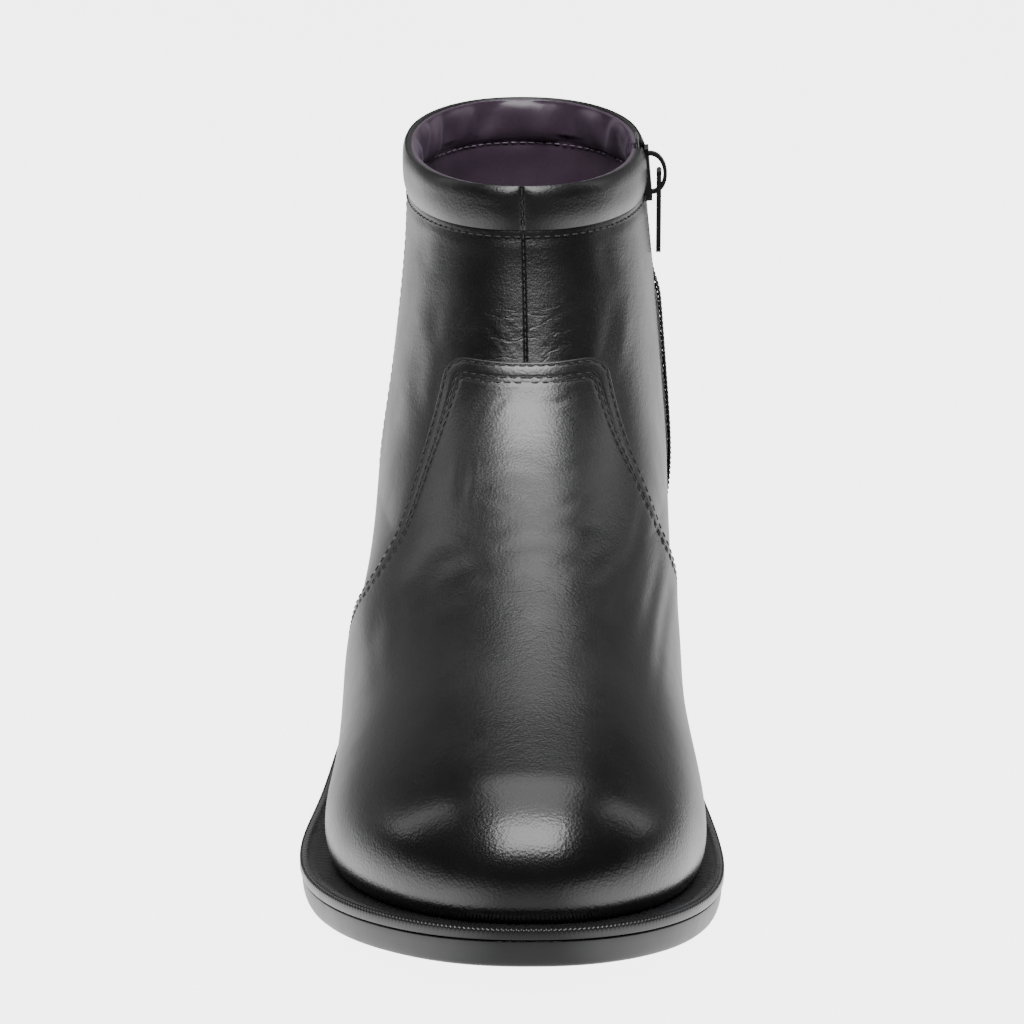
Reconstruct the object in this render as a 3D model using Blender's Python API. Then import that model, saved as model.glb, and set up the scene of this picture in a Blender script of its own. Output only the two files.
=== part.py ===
import math

import bmesh
import bpy
import numpy as np

# A right-foot zip ankle boot on a soft square last. Sizes are millimetres, scaled to metres when a mesh is
# made. +Z is up, the toe points to -Y and the inner side of the foot is +X. The origin is the middle of the
# heel's tread, on the floor. "Along" is the distance forward from the back of the sole.
MM = 0.001
GAP = 0.3  # running gap between two pieces that meet

# Driving dimensions
SOLE_LENGTH = 305.0
HEEL_TREAD_CENTRE = 34.0  # along, and the origin
UPPER_TIP = 298.2  # along, the most forward point of the upper
UPPER_WALL = 2.0
VAMP_LEATHER = 1.2
WELT_THICKNESS = 3.2
OUTSOLE_THICKNESS = 7.3
TOE_WALL_LENGTH = 25.0  # how far back the toe's front wall rolls over into its top
TOE_WALL_SQUARENESS = 2.3
MARGIN_WIDTH = 13.0  # leather turned under the foot, on which the insole lies
INSOLE_THICKNESS = 3.0
INSOLE_PLAY = 0.9  # to the upper's wall and margin
TREAD_FLAT = (172.0, 225.0)  # along: the part of the outsole that stands on the floor
TOE_SPRING = 9.1
HEEL_RISE = 17.9  # height of the outsole's underside at the back of the heel
ARCH_LENGTH = 155.0
HEEL_LENGTH = 70.0
HEEL_TO_FOREFOOT = 45.0  # length over which the sole's side changes in front of the heel
HEEL_INSET = {"top": -0.7, "bottom": -1.6}  # from the welt's edge to the heel stack's
TOP_LIFT_THICKNESS = 6.0
LIFT_BEVEL = 0.9
COLLAR_HEIGHT = 163.3  # at the back
COLLAR_DIP = 1.0  # how much lower the collar is at the sides
COLLAR_BAND = 0.895  # share of the upper's rise at which the padded band starts
BAND_BULGE = 1.1  # outwards
BAND_PADDING = 1.6  # inwards
VAMP_TOP = 118.0
VAMP_CORNER = 6.0  # radius at both ends of the vamp's top edge
ZIP_BOTTOM = 43.0
ZIP_SLOT_WIDTH = 8.6
TAPE_DEPTH = 0.9  # its face below the leather's
TAPE_THICKNESS = 0.8
TAPE_PLAY = 0.45  # to each edge of the slot
TAPE_ABOVE_COLLAR = 2.5
CHAIN_ENDS = (2.0, -1.0)  # past the slot's bottom and the collar
CHAIN_WIDTH = 5.2
CHAIN_THICKNESS = 0.8
SLIDER_HEIGHT = 154.0
SLIDER_LENGTH = 15.0
SLIDER_WIDTH = 7.4
SLIDER_PLAY = 0.45  # to the chain and the tape, which bend a little along the slider
SLIDER_PLATE = (0.65, 1.75)  # its two faces, outwards from the leather's face
ARCH_LENGTH_OUTSIDE = 12.4
ARCH_TOP = 6.5
ARCH_THICKNESS = 1.1
ARCH_WIDTH = 2.2
PIVOT_OUT = 4.2  # the pull's bar, outwards from the leather's face
PULL_LENGTH = 23.5  # from the bar's axis to the free end
PULL_WIDTH = 5.5
PULL_THICKNESS = 1.4
PULL_BAR_RADIUS = 0.75
PULL_EYE = (7.4, 3.3)  # length below the bar's axis, and width
PULL_TOP = 0.3  # of the tab, over the bar's axis
BAR_OVERHANG = 0.25  # past each side of the tab
VAMP_LEAST_DEPTH = 0.12  # so that the vamp's edge passes no closer than this to a corner of a cell

# Plan of the upper at its widest line: x of the ridge and of each side, without the round ends
PLAN = np.array([
    # along, ridge, inner, outer
    (0.0, 0.0, 33.0, -33.5),
    (35.0, 0.0, 35.0, -35.0),
    (75.0, 0.8, 38.5, -38.0),
    (115.0, 2.5, 42.5, -43.5),
    (150.0, 3.4, 43.2, -47.0),
    (185.0, 3.8, 44.6, -47.9),
    (215.0, 3.8, 46.8, -49.6),
    (245.0, 3.4, 47.2, -50.4),
    (275.0, 2.8, 45.0, -46.6),
    (305.0, 2.0, 38.4, -38.5),
])
TOE_ROUND = {"inner": 75.0, "outer": 92.0}  # length over which the plan rounds off to the toe's tip
TOE_SQUARENESS = 2.4
HEEL_ROUND = 36.0

# Height of the widest line above the feather line
BULGE = np.array([
    # along, height
    (0.0, 13.0),
    (60.0, 13.0),
    (130.0, 11.0),
    (200.0, 8.0),
    (260.0, 7.0),
    (305.0, 7.5),
])
# Front outline of the upper from the side, toe to collar, before the toe's wall is rounded
FRONT_LINE = np.array([
    # along, height
    (305.0, 41.5),
    (280.0, 47.5),
    (250.0, 55.0),
    (220.0, 63.7),
    (190.0, 75.2),
    (163.0, 90.8),
    (143.0, 110.0),
    (131.0, 132.0),
    (124.5, 148.0),
    (121.5, 163.5),
])
# Back outline of the upper from the side
BACK_LINE = np.array([
    # height, along
    (28.0, 4.5),
    (42.0, 1.5),
    (58.0, 0.2),
    (78.0, 2.6),
    (100.0, 7.6),
    (122.0, 11.0),
    (145.0, 12.0),
    (170.0, 10.5),
])
# Level rings of the leg: side half-widths, and how the front and back halves round off
LEG = np.array([
    # height, centre, inner, outer, front share, squareness
    (40.0, 1.0, 39.0, -38.5, 0.62, 2.3),
    (65.0, 1.5, 41.8, -40.6, 0.60, 2.3),
    (95.0, 1.5, 40.6, -37.2, 0.58, 2.25),
    (120.0, 1.5, 38.6, -34.2, 0.56, 2.2),
    (145.0, 1.0, 36.2, -32.4, 0.55, 2.2),
    (165.0, 0.4, 34.5, -32.9, 0.54, 2.2),
])
FOREFOOT_SQUARENESS = np.array([
    # along, exponent of the cross-section on the inner side, on the outer side
    (120.0, 2.1, 2.15),
    (165.0, 2.05, 1.88),
    (200.0, 1.93, 1.7),
    (250.0, 2.0, 1.85),
    (305.0, 2.3, 2.2),
])
FOREFOOT_ENDS = 182.0  # along: cross-sections shape the upper in front of this line
LEG_BEGINS = 128.0  # and level rings shape it behind this one
PLAN_TO_LEG = (30.0, 78.0)  # heights between which the foot's plan gives way to the leg's rings

# How far the welt's edge stands out from the feather line
LEDGE = np.array([
    # along, inner side, outer side
    (0.0, 4.8, 4.8),
    (60.0, 4.8, 4.8),
    (130.0, 6.0, 5.6),
    (190.0, 7.4, 8.8),
    (225.0, 8.6, 10.8),
    (250.0, 9.4, 10.8),
    (305.0, 8.6, 7.4),
])
# How far the upper's lower edge lies inside its widest line
INSET = np.array([
    # along, inner side, outer side
    (0.0, 2.6, 2.6),
    (65.0, 2.8, 2.6),
    (120.0, 6.0, 3.2),
    (170.0, 3.0, 2.6),
    (210.0, 2.6, 2.6),
    (305.0, 2.6, 2.6),
])
# Back edge of the vamp, which goes down and forward from the top, then back to the sole
VAMP_EDGE = np.array([
    # height, along on the inner side, along on the outer side
    (10.0, 101.0, 115.0),
    (22.0, 108.0, 122.5),
    (35.0, 118.0, 133.0),
    (48.0, 129.5, 145.0),
    (60.0, 138.5, 153.5),
    (70.0, 142.0, 154.5),
    (80.0, 141.5, 149.5),
    (90.0, 139.0, 142.0),
    (100.0, 135.0, 135.5),
    (110.0, 130.5, 130.5),
    (120.0, 127.0, 127.0),
])
# Middle line of the zip
ZIP_LINE = np.array([
    # height, along
    (30.0, 81.0),
    (100.0, 71.0),
    (172.0, 66.0),
])

# Fineness of the faceted surfaces
FRONT_CELLS = 22  # round the upper, from the toe's centre line to the zip's slot
BACK_CELLS = 9  # from the slot to the centre line of the back
LEG_RINGS = 16
SMOOTH_ANGLE = 40.0  # a sharper edge than this keeps its crease when it is shaded
BAND_STEPS = (0.1, 0.33, 0.67, 0.9, 1.0)  # shares of the collar band's height
WALL_TURNS = (78.0, 60.0, 40.0, 20.0)  # degrees below the widest line
VAMP_TURNS = (60.0, 40.0, 20.0)
RUNGS = 40  # across a plate of the sole
HEEL_RUNG_STEP = 3  # the heel takes every third one

# Slider body: share of its length, how much wider it is there on each side
SLIDER_SECTIONS = ((-0.5, -0.45), (-0.43, 0.0), (0.1, 0.0), (0.36, 0.25), (0.5, -0.3))

# Top lift: height, distance from the welt's edge, distance from the heel's front
TOP_LIFT = (
    (TOP_LIFT_THICKNESS, -1.7, -1.3),
    (LIFT_BEVEL, -2.0, -1.6),
    (0.0, -2.9, -2.5),
)

# The outsole's side, from its top down to a rounded lower edge
OUTSOLE_SIDE = (
    # share of its thickness, distance from the welt's edge at the heel, at the forefoot
    (1.0, -0.4, -0.4),
    (0.35, -0.6, -0.9),
    (0.1, -0.6, -1.6),
    (0.0, -0.7, -2.8),
)


def spline(table, x, column=1):
    """Natural cubic through a table's first column and another one, straight beyond its ends."""
    xs, ys = table[:, 0], table[:, column]
    if xs[0] > xs[-1]:
        xs, ys = xs[::-1], ys[::-1]
    n = len(xs)
    h = np.diff(xs)
    slope = np.diff(ys) / h
    matrix = np.eye(n)
    right = np.zeros(n)
    for i in range(1, n - 1):
        matrix[i, i - 1: i + 2] = h[i - 1], 2 * (h[i - 1] + h[i]), h[i]
        right[i] = 6 * (slope[i] - slope[i - 1])
    bend = np.linalg.solve(matrix, right)
    x = np.asarray(x, float)
    inside = np.clip(x, xs[0], xs[-1])
    i = np.clip(np.searchsorted(xs, inside) - 1, 0, n - 2)
    a, b = xs[i + 1] - inside, inside - xs[i]
    value = (
        (bend[i] * a ** 3 + bend[i + 1] * b ** 3) / (6 * h[i])
        + (ys[i] / h[i] - bend[i] * h[i] / 6) * a
        + (ys[i + 1] / h[i] - bend[i + 1] * h[i] / 6) * b
    )
    first = slope[0] - h[0] * bend[1] / 6
    last = slope[-1] + h[-1] * bend[-2] / 6
    return value + np.minimum(x - xs[0], 0) * first + np.maximum(x - xs[-1], 0) * last


def smooth_step(x, low, high):
    t = np.clip((x - low) / (high - low), 0, 1)
    return t * t * t * (10 - 15 * t + 6 * t * t)


def round_end(distance, depth, squareness):
    """Share of the full width at a distance from a rounded end: a superellipse of that depth."""
    t = 1 - np.clip(distance / depth, 0, 1)
    return np.maximum(1 - t ** squareness, 0) ** (1 / squareness)


def front_outline():
    """The upper's front outline as dense points (along, height), from the toe's tip to the collar."""
    steps = np.linspace(0, 1, len(FRONT_LINE))
    t = np.linspace(0, 1, 3000)
    top_along = spline(np.column_stack([steps, FRONT_LINE[:, 0]]), t)
    top_height = spline(np.column_stack([steps, FRONT_LINE[:, 1]]), t)
    tip = UPPER_TIP - np.linspace(0, 1, 300) ** 2 * 6
    shaft = top_along[top_along < tip[-1]]
    along = np.concatenate([tip, shaft])
    height = np.concatenate([np.interp(-tip, -top_along, top_height), top_height[top_along < tip[-1]]])
    low = widest_height(along)
    wall = round_end(UPPER_TIP - along, TOE_WALL_LENGTH, TOE_WALL_SQUARENESS)
    return along, low + (height - low) * wall


def tread_height(along):
    """Height of the outsole's underside: flat under the ball, rising to the toe and over the arch."""
    spring = np.clip((np.asarray(along, float) - TREAD_FLAT[1]) / (SOLE_LENGTH - TREAD_FLAT[1]), 0, None)
    arch = np.clip((TREAD_FLAT[0] - np.asarray(along, float)) / ARCH_LENGTH, 0, 1)
    return TOE_SPRING * spring ** 1.9 + HEEL_RISE * arch * arch * (3 - 2 * arch)


def feather_height(along):
    """Height of the feather line, where the upper meets the welt."""
    return tread_height(along) + OUTSOLE_THICKNESS + GAP + WELT_THICKNESS + GAP


def widest_height(along):
    return feather_height(along) + spline(BULGE, along)


def back_along(height):
    return spline(BACK_LINE, height)


FRONT_ALONG, FRONT_HEIGHT = front_outline()
FRONT_LENGTH = np.concatenate([[0], np.cumsum(np.hypot(np.diff(FRONT_ALONG), np.diff(FRONT_HEIGHT)))])


def forefoot_side(along, height, side):
    """x of one side by cross-sections: the plan's width, rounded off towards the ridge."""
    low = widest_height(along)
    top = np.interp(-along, -FRONT_ALONG, FRONT_HEIGHT)
    squareness = spline(FOREFOOT_SQUARENESS, along, 1 if side == "inner" else 2)
    rise = np.clip((height - low) / np.maximum(top - low, 1e-6), 0, 1)
    section = np.maximum(1 - rise ** squareness, 0) ** (1 / squareness)
    toe = round_end(UPPER_TIP - along, TOE_ROUND[side], TOE_SQUARENESS)
    ridge = spline(PLAN, along, 1)
    edge = spline(PLAN, along, 2 if side == "inner" else 3)
    return ridge + (edge - ridge) * toe * section


def leg_side(along, height, side):
    """x of one side by level rings: an oval between the back and front outlines."""
    column = 2 if side == "inner" else 3
    to_leg = smooth_step(height, *PLAN_TO_LEG)
    centre = spline(PLAN, along, 1) * (1 - to_leg) + spline(LEG, height, 1) * to_leg
    edge = spline(PLAN, along, column) * (1 - to_leg) + spline(LEG, height, column) * to_leg
    front = np.interp(height, FRONT_HEIGHT, FRONT_ALONG)
    back = back_along(height)
    length = front - back
    share = spline(LEG, height, 4)
    squareness = spline(LEG, height, 5)
    back_depth = HEEL_ROUND * (1 - to_leg) + (1 - share) * length * to_leg
    front_depth = np.minimum(share * length, 115.0)
    ends = round_end(front - along, front_depth, squareness) * round_end(along - back, back_depth, squareness)
    return centre + (edge - centre) * ends


def side_of_upper(along, height, side):
    leg = 1 - smooth_step(along, LEG_BEGINS, FOREFOOT_ENDS)
    return (1 - leg) * forefoot_side(along, height, side) + leg * leg_side(along, height, side)


def ring_path(share, count=700):
    """(along, height) of one ring of the upper from its front point to its back point.
    Share is 0 at the widest line and 1 at the collar; between them the ring glides up both outlines."""
    left = 1 - share
    climb = share * left * left + share * share * (3 - 2 * share) - 0.35 * share * share * left
    reach = FRONT_LENGTH[-1] * climb
    front = [np.interp(reach, FRONT_LENGTH, values) for values in (FRONT_ALONG, FRONT_HEIGHT)]
    low = widest_height(1.5)
    height = low + (COLLAR_HEIGHT - low) * share
    back = np.array([back_along(height), height])
    q = (1 - np.cos(np.linspace(0, math.pi, count))) / 2
    along = front[0] + (back[0] - front[0]) * q
    chord = front[1] + (back[1] - front[1]) * q
    start = np.array([UPPER_TIP, widest_height(UPPER_TIP)])
    end = np.array([back_along(low), low])
    base_along = start[0] + (end[0] - start[0]) * q
    base_chord = start[1] + (end[1] - start[1]) * q
    sag = (widest_height(base_along) - base_chord) * (1 - share) ** 2
    dip = -COLLAR_DIP * np.sin(math.pi * q) * share ** 3
    return along, chord + sag + dip


def place(x, along, height):
    """World point of an offset x, a distance along and a height."""
    return np.stack([x, HEEL_TREAD_CENTRE - along, height], axis=-1)


def half_ring(share, side):
    """Dense points of one half of a ring, from the front point to the back point."""
    along, height = ring_path(share)
    x = side_of_upper(along, height, side)
    ridge = side_of_upper(along, height, "inner" if side == "outer" else "outer")
    x[0] = (x[0] + ridge[0]) / 2
    x[-1] = (x[-1] + ridge[-1]) / 2
    return place(x, along, height)


def lengths(points):
    return np.concatenate([[0], np.cumsum(np.linalg.norm(np.diff(points, axis=0), axis=1))])


def at_lengths(points, along, wanted):
    return np.stack([np.interp(wanted, along, points[:, k]) for k in range(3)], axis=1)


def sampled_half(points):
    """A half ring's points at the columns of the upper's grid, which are even on each side of the slot."""
    run = lengths(points)
    offset = HEEL_TREAD_CENTRE - points[:, 1] - spline(ZIP_LINE, points[:, 2])
    middle = run[np.argmin(np.abs(offset))]
    slot = (middle - ZIP_SLOT_WIDTH / 2, middle + ZIP_SLOT_WIDTH / 2)
    front = slot[0] * np.linspace(0, 1, FRONT_CELLS + 1) ** 1.12
    back = slot[1] + (run[-1] - slot[1]) * np.linspace(0, 1, BACK_CELLS + 1)
    return at_lengths(points, run, np.concatenate([front, back]))


def full_ring(share):
    """One closed ring of the upper: down the inner side to the back, and up the outer side to the front."""
    inner = sampled_half(half_ring(share, "inner"))
    outer = sampled_half(half_ring(share, "outer"))
    return np.concatenate([inner, outer[-2:0:-1]])


def offset_in_plan(ring, distance):
    """The ring moved outwards in plan by a distance, which may differ from point to point."""
    ahead = np.roll(ring, -1, axis=0) - np.roll(ring, 1, axis=0)
    normal = np.stack([ahead[:, 1], -ahead[:, 0]], axis=1)
    normal /= np.linalg.norm(normal, axis=1)[:, None]
    moved = ring.copy()
    moved[:, :2] += normal * np.broadcast_to(distance, len(ring))[:, None]
    return moved


def along_of(points):
    return HEEL_TREAD_CENTRE - points[..., 1]


def side_value(ring, table):
    """A table's value at each point of a full ring: its inner column on the first half, then its outer."""
    along = along_of(ring)
    inner = np.arange(len(ring)) <= len(ring) // 2
    return np.where(inner, spline(table, along, 1), spline(table, along, 2))


WIDEST_RING = full_ring(0.0)
WIDEST_DENSE = np.concatenate([half_ring(0.0, "inner"), half_ring(0.0, "outer")[-2:0:-1]])


def wall_ring(turn):
    """A ring of the wall under the widest line, which turns in under the foot by an angle."""
    end = math.radians(WALL_TURNS[0])
    angle = math.radians(turn)
    share = (1 - math.cos(angle)) / (1 - math.cos(end))
    ring = offset_in_plan(WIDEST_RING, -side_value(WIDEST_RING, INSET) * share)
    low = feather_height(along_of(ring))
    ring[:, 2] = WIDEST_RING[:, 2] + (low - WIDEST_RING[:, 2]) * math.sin(angle) / math.sin(end)
    return ring


def leg_shares():
    """Shares of the rings above the widest line, and how far up the collar band each one is."""
    plain = COLLAR_BAND * np.linspace(0, 1, LEG_RINGS) ** 1.35
    band = COLLAR_BAND + (1 - COLLAR_BAND) * np.array(BAND_STEPS)
    return np.concatenate([plain, band]), np.concatenate([np.zeros(LEG_RINGS), BAND_STEPS])


def base_surface():
    """Rings of the leather's outer face, from the inner edge of the lasting margin up to the collar."""
    feather = wall_ring(WALL_TURNS[0])
    margin = offset_in_plan(feather, -MARGIN_WIDTH)
    margin[:, 2] = feather_height(along_of(margin))
    rings = [margin] + [wall_ring(turn) for turn in WALL_TURNS]
    return np.stack(rings + [full_ring(share) for share in leg_shares()[0]])


def unit(vectors):
    return vectors / np.maximum(np.linalg.norm(vectors, axis=-1), 1e-9)[..., None]


def surface_normals(grid):
    """Unit normals of a grid of closed rings that goes upwards: each lies midway between its four cells."""
    around = unit(np.roll(grid, -1, axis=1) - grid)
    around = around + np.roll(around, 1, axis=1)
    steps = unit(np.diff(grid, axis=0))
    up = np.concatenate([steps[:1], steps[1:] + steps[:-1], steps[-1:]])
    return unit(np.cross(around, up))


def inside_vamp(along, height, side):
    """Distance inside the vamp's edge, whose two upper corners are rounded."""
    from_back = along - spline(VAMP_EDGE, height, 1 if side == "inner" else 2)
    from_top = VAMP_TOP - height
    corner = np.hypot(np.maximum(VAMP_CORNER - from_back, 0), np.maximum(VAMP_CORNER - from_top, 0))
    return VAMP_CORNER - corner + np.maximum(np.minimum(from_back, from_top) - VAMP_CORNER, 0)


def closed_body(name, points, faces):
    mesh = bpy.data.meshes.new(name)
    mesh.from_pydata((np.asarray(points) * MM).tolist(), [], faces)
    body = bmesh.new()
    body.from_mesh(mesh)
    bmesh.ops.recalc_face_normals(body, faces=body.faces)
    body.to_mesh(mesh)
    body.free()
    made = bpy.data.objects.new(name, mesh)
    bpy.context.scene.collection.objects.link(made)
    return made


def add_solid(name, points, faces, material, origin=(0.0, 0.0, 0.0)):
    """One closed body from points in millimetres, as an object of its own."""
    origin = np.array(origin)
    solid = closed_body(name, np.asarray(points) - origin, faces)
    solid.location = origin * MM
    solid.data.materials.append(material)
    solid.data.shade_smooth()
    solid.data.set_sharp_from_angle(angle=math.radians(SMOOTH_ANGLE))
    return solid


def wall_between(outer, inner, depth, skipped=()):
    """Points and faces of a wall between two grids of rings, over the part where a depth is positive.
    Each cell is two triangles, so two pieces made from the same rings lie evenly apart. Cells that are
    skipped leave a slot, and all edges are closed."""
    rows, columns = depth.shape
    outer, inner, depth = outer.reshape(-1, 3), inner.reshape(-1, 3), depth.ravel()
    index = {}
    outside, inside, loops = [], [], []

    def corner(a, b):
        key = (min(a, b), max(a, b))
        if key not in index:
            index[key] = len(outside)
            share = 0.0 if a == b else depth[a] / (depth[a] - depth[b])
            outside.append(outer[a] + (outer[b] - outer[a]) * share)
            inside.append(inner[a] + (inner[b] - inner[a]) * share)
        return index[key]

    for i in range(rows - 1):
        for j in range(columns):
            if (i, j) in skipped:
                continue
            k = (j + 1) % columns
            low, next_low = i * columns + j, i * columns + k
            high, next_high = low + columns, next_low + columns
            for triangle in ((low, next_low, next_high), (low, next_high, high)):
                loop = []
                for a, b in zip(triangle, triangle[1:] + triangle[:1]):
                    if depth[a] > 0:
                        loop.append(corner(a, a))
                    if (depth[a] > 0) != (depth[b] > 0):
                        loop.append(corner(a, b))
                if loop:
                    loops.append(loop)
    count = len(outside)
    faces = []
    edges = {}
    for loop in loops:
        faces.append(tuple(loop))
        faces.append(tuple(count + a for a in reversed(loop)))
        for a, b in zip(loop, loop[1:] + loop[:1]):
            if (b, a) in edges:
                del edges[(b, a)]
            else:
                edges[(a, b)] = True
    for a, b in edges:
        faces.append((b, a, count + a, count + b))
    return np.array(outside + inside), faces


def tube(sections):
    """Points and faces of a body through closed sections of as many points each, with both ends filled."""
    sections = np.asarray(sections)
    count, corners = sections.shape[:2]
    faces = [tuple(reversed(range(corners)))]
    for i in range(count - 1):
        for j in range(corners):
            k = (j + 1) % corners
            faces.append((i * corners + j, i * corners + k, (i + 1) * corners + k, (i + 1) * corners + j))
    faces.append(tuple((count - 1) * corners + j for j in range(corners)))
    return sections.reshape(-1, 3), faces


def outline(at_heel, at_forefoot):
    """The sole's outline in plan, moved outwards from the welt's edge by a distance at each end."""
    ring = WIDEST_DENSE
    forward = smooth_step(along_of(ring), HEEL_LENGTH, HEEL_LENGTH + HEEL_TO_FOREFOOT)
    distance = at_heel + (at_forefoot - at_heel) * forward
    return offset_in_plan(ring, side_value(ring, LEDGE) - side_value(ring, INSET) + distance)


def inside_outline(distance):
    """An outline in plan that far inside the feather line."""
    return offset_in_plan(WIDEST_DENSE, -side_value(WIDEST_DENSE, INSET) - distance)


def rungs(ring, height, last=None):
    """Straight lines across a closed outline, close together at its round ends. Each is an inner and an outer
    point, and its height is a function of its distance along."""
    along = along_of(ring)
    ring = np.roll(ring, -int(np.argmax(along)), axis=0)
    along = along_of(ring)
    back = int(np.argmin(along))
    low, high = along[back] + 0.03, along[0] - 0.03
    t = np.linspace(0, 1, RUNGS)
    if last is None:
        places = low + (high - low) * (1 - np.cos(math.pi * t)) / 2
    else:
        t = t[::HEEL_RUNG_STEP]
        places = low + (last - low) * (1 - np.cos(math.pi / 2 * t / t[-1]))
    halves = []
    for half in (slice(0, back + 1), slice(back, None)):
        order = np.argsort(along[half])
        halves.append(np.interp(places, along[half][order], ring[half, 0][order]))
    z = np.broadcast_to(height(places), len(places))
    return np.stack([place(halves[0], places, z), place(halves[1], places, z)], axis=1)


def plate(levels):
    """Points and faces of a plate from its outline at several levels, top first. Each is a row of rungs."""
    levels = np.stack(levels)
    count, length = levels.shape[:2]

    def at(level, rung, side):
        return (level * length + rung) * 2 + side

    faces = []
    for i in range(length - 1):
        faces.append((at(0, i, 0), at(0, i, 1), at(0, i + 1, 1), at(0, i + 1, 0)))
        last = count - 1
        faces.append((at(last, i, 0), at(last, i + 1, 0), at(last, i + 1, 1), at(last, i, 1)))
        for level in range(count - 1):
            for side in (0, 1):
                upper_edge = (at(level, i, side), at(level, i + 1, side))
                lower_edge = (at(level + 1, i + 1, side), at(level + 1, i, side))
                faces.append(upper_edge + lower_edge)
    for level in range(count - 1):
        for end in (0, length - 1):
            faces.append((at(level, end, 0), at(level, end, 1), at(level + 1, end, 1), at(level + 1, end, 0)))
    return levels.reshape(-1, 3), faces


def material(name, colour, roughness, metallic=0.0):
    made = bpy.data.materials.new(name)
    made.use_nodes = True
    shader = made.node_tree.nodes["Principled BSDF"]
    shader.inputs["Base Color"].default_value = (*colour, 1.0)
    shader.inputs["Roughness"].default_value = roughness
    shader.inputs["Metallic"].default_value = metallic
    return made


def helper(name, points, faces):
    """A body that only cuts or joins another one."""
    made = closed_body(name, points, faces)
    made.hide_render = True
    made.display_type = "WIRE"
    return made


def apply_boolean(solid, operation, other):
    change = solid.modifiers.new(other.name, "BOOLEAN")
    change.operation = operation
    change.solver = "EXACT"
    change.object = other


def band_profile(share):
    """How full the collar's padded band is at a share of its height: nothing at its seam and at the rim."""
    return 1 - np.abs(2 * share - 1) ** 3


def add_upper(grid, normals, leather):
    """The hollow upper: margin, wall and leg in one piece, with the padded collar and the slot of the zip."""
    padding = np.zeros(len(grid))
    padding[1 + len(WALL_TURNS):] = band_profile(leg_shares()[1])
    depth = UPPER_WALL + BAND_PADDING * padding
    outer = grid + normals * (BAND_BULGE * padding)[:, None, None]
    inner = grid - normals * depth[:, None, None]
    slot = {(i, FRONT_CELLS) for i in range(slot_row(grid), len(grid))}
    add_solid("upper", *wall_between(outer, inner, np.ones(grid.shape[:2]), slot), leather)


def slot_row(grid):
    return int(np.argmax(grid[:, FRONT_CELLS, 2] > ZIP_BOTTOM))


def add_vamp(grid, normals, leather):
    """The vamp, which lies on the upper from the welt to its own top edge."""
    first = 1 + WALL_TURNS.index(VAMP_TURNS[0])
    grid, normals = grid[first:], normals[first:]
    along = along_of(grid)
    half = grid.shape[1] // 2
    inner_side = np.arange(grid.shape[1]) <= half
    depth = np.where(
        inner_side[None, :],
        inside_vamp(along, grid[..., 2], "inner"),
        inside_vamp(along, grid[..., 2], "outer"),
    )
    least = np.where(depth > 0, VAMP_LEAST_DEPTH, -VAMP_LEAST_DEPTH)
    depth = np.where(np.abs(depth) < VAMP_LEAST_DEPTH, least, depth)
    add_solid(
        "vamp",
        *wall_between(grid + normals * (GAP + VAMP_LEATHER), grid + normals * GAP, depth),
        leather,
    )


def add_sole(rubber, welt_leather, insole_leather):
    def top_of_welt(along):
        return feather_height(along) - GAP

    def foot_of_welt(along):
        return feather_height(along) - GAP - WELT_THICKNESS

    rim = outline(0.0, 0.0)
    add_solid("welt", *plate([rungs(rim, top_of_welt), rungs(rim, foot_of_welt)]), welt_leather)

    levels = []
    for share, at_heel, at_forefoot in OUTSOLE_SIDE:
        levels.append(rungs(
            outline(at_heel, at_forefoot),
            lambda along, rise=share * OUTSOLE_THICKNESS: tread_height(along) + rise,
        ))
    add_solid("outsole", *plate(levels), rubber)

    stack = [
        rungs(outline(HEEL_INSET["top"], 0.0), lambda along: tread_height(along) - GAP, HEEL_LENGTH),
        rungs(outline(HEEL_INSET["bottom"], 0.0), lambda along: TOP_LIFT_THICKNESS + GAP, HEEL_LENGTH - 1.2),
    ]
    add_solid("heel_stack", *plate(stack), rubber)
    lift = []
    for height, at_heel, at_front in TOP_LIFT:
        lift.append(rungs(outline(at_heel, 0.0), lambda along, level=height: level, HEEL_LENGTH + at_front))
    add_solid("top_lift", *plate(lift), rubber)

    edge = inside_outline(UPPER_WALL + INSOLE_PLAY)
    low = UPPER_WALL + GAP
    insole = add_solid(
        "insole",
        *plate([
            rungs(edge, lambda along: feather_height(along) + low + INSOLE_THICKNESS),
            rungs(edge, lambda along: feather_height(along) + low),
        ]),
        insole_leather,
    )
    core = inside_outline(MARGIN_WIDTH + INSOLE_PLAY)
    filler = helper("insole_core", *plate([
        rungs(core, lambda along: feather_height(along) + low + INSOLE_THICKNESS / 2),
        rungs(core, lambda along: feather_height(along)),
    ]))
    apply_boolean(insole, "UNION", filler)


def zip_frames(grid, normals):
    """Middle, across, outward and up directions of the zip at each ring of its slot."""
    rows = slice(slot_row(grid), None)
    front, back = grid[rows, FRONT_CELLS], grid[rows, FRONT_CELLS + 1]
    middle = (front + back) / 2
    across = (back - front) / np.linalg.norm(back - front, axis=1)[:, None]
    outward = normals[rows, FRONT_CELLS] + normals[rows, FRONT_CELLS + 1]
    outward -= across * (outward * across).sum(axis=1)[:, None]
    outward /= np.linalg.norm(outward, axis=1)[:, None]
    return middle, across, outward, np.cross(outward, across)


def strip(frames, width, faces, start, end):
    """A strip along the zip, its two faces at heights over the leather, from start to end past its slot."""
    middle, across, outward, upward = (value.copy() for value in frames)
    middle[0] += upward[0] * start
    middle[-1] += upward[-1] * end
    sections = []
    for high, side in ((faces[1], -1), (faces[1], 1), (faces[0], 1), (faces[0], -1)):
        sections.append(middle + outward * high + across * (side * width / 2))
    return tube(np.stack(sections, axis=1))


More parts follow.
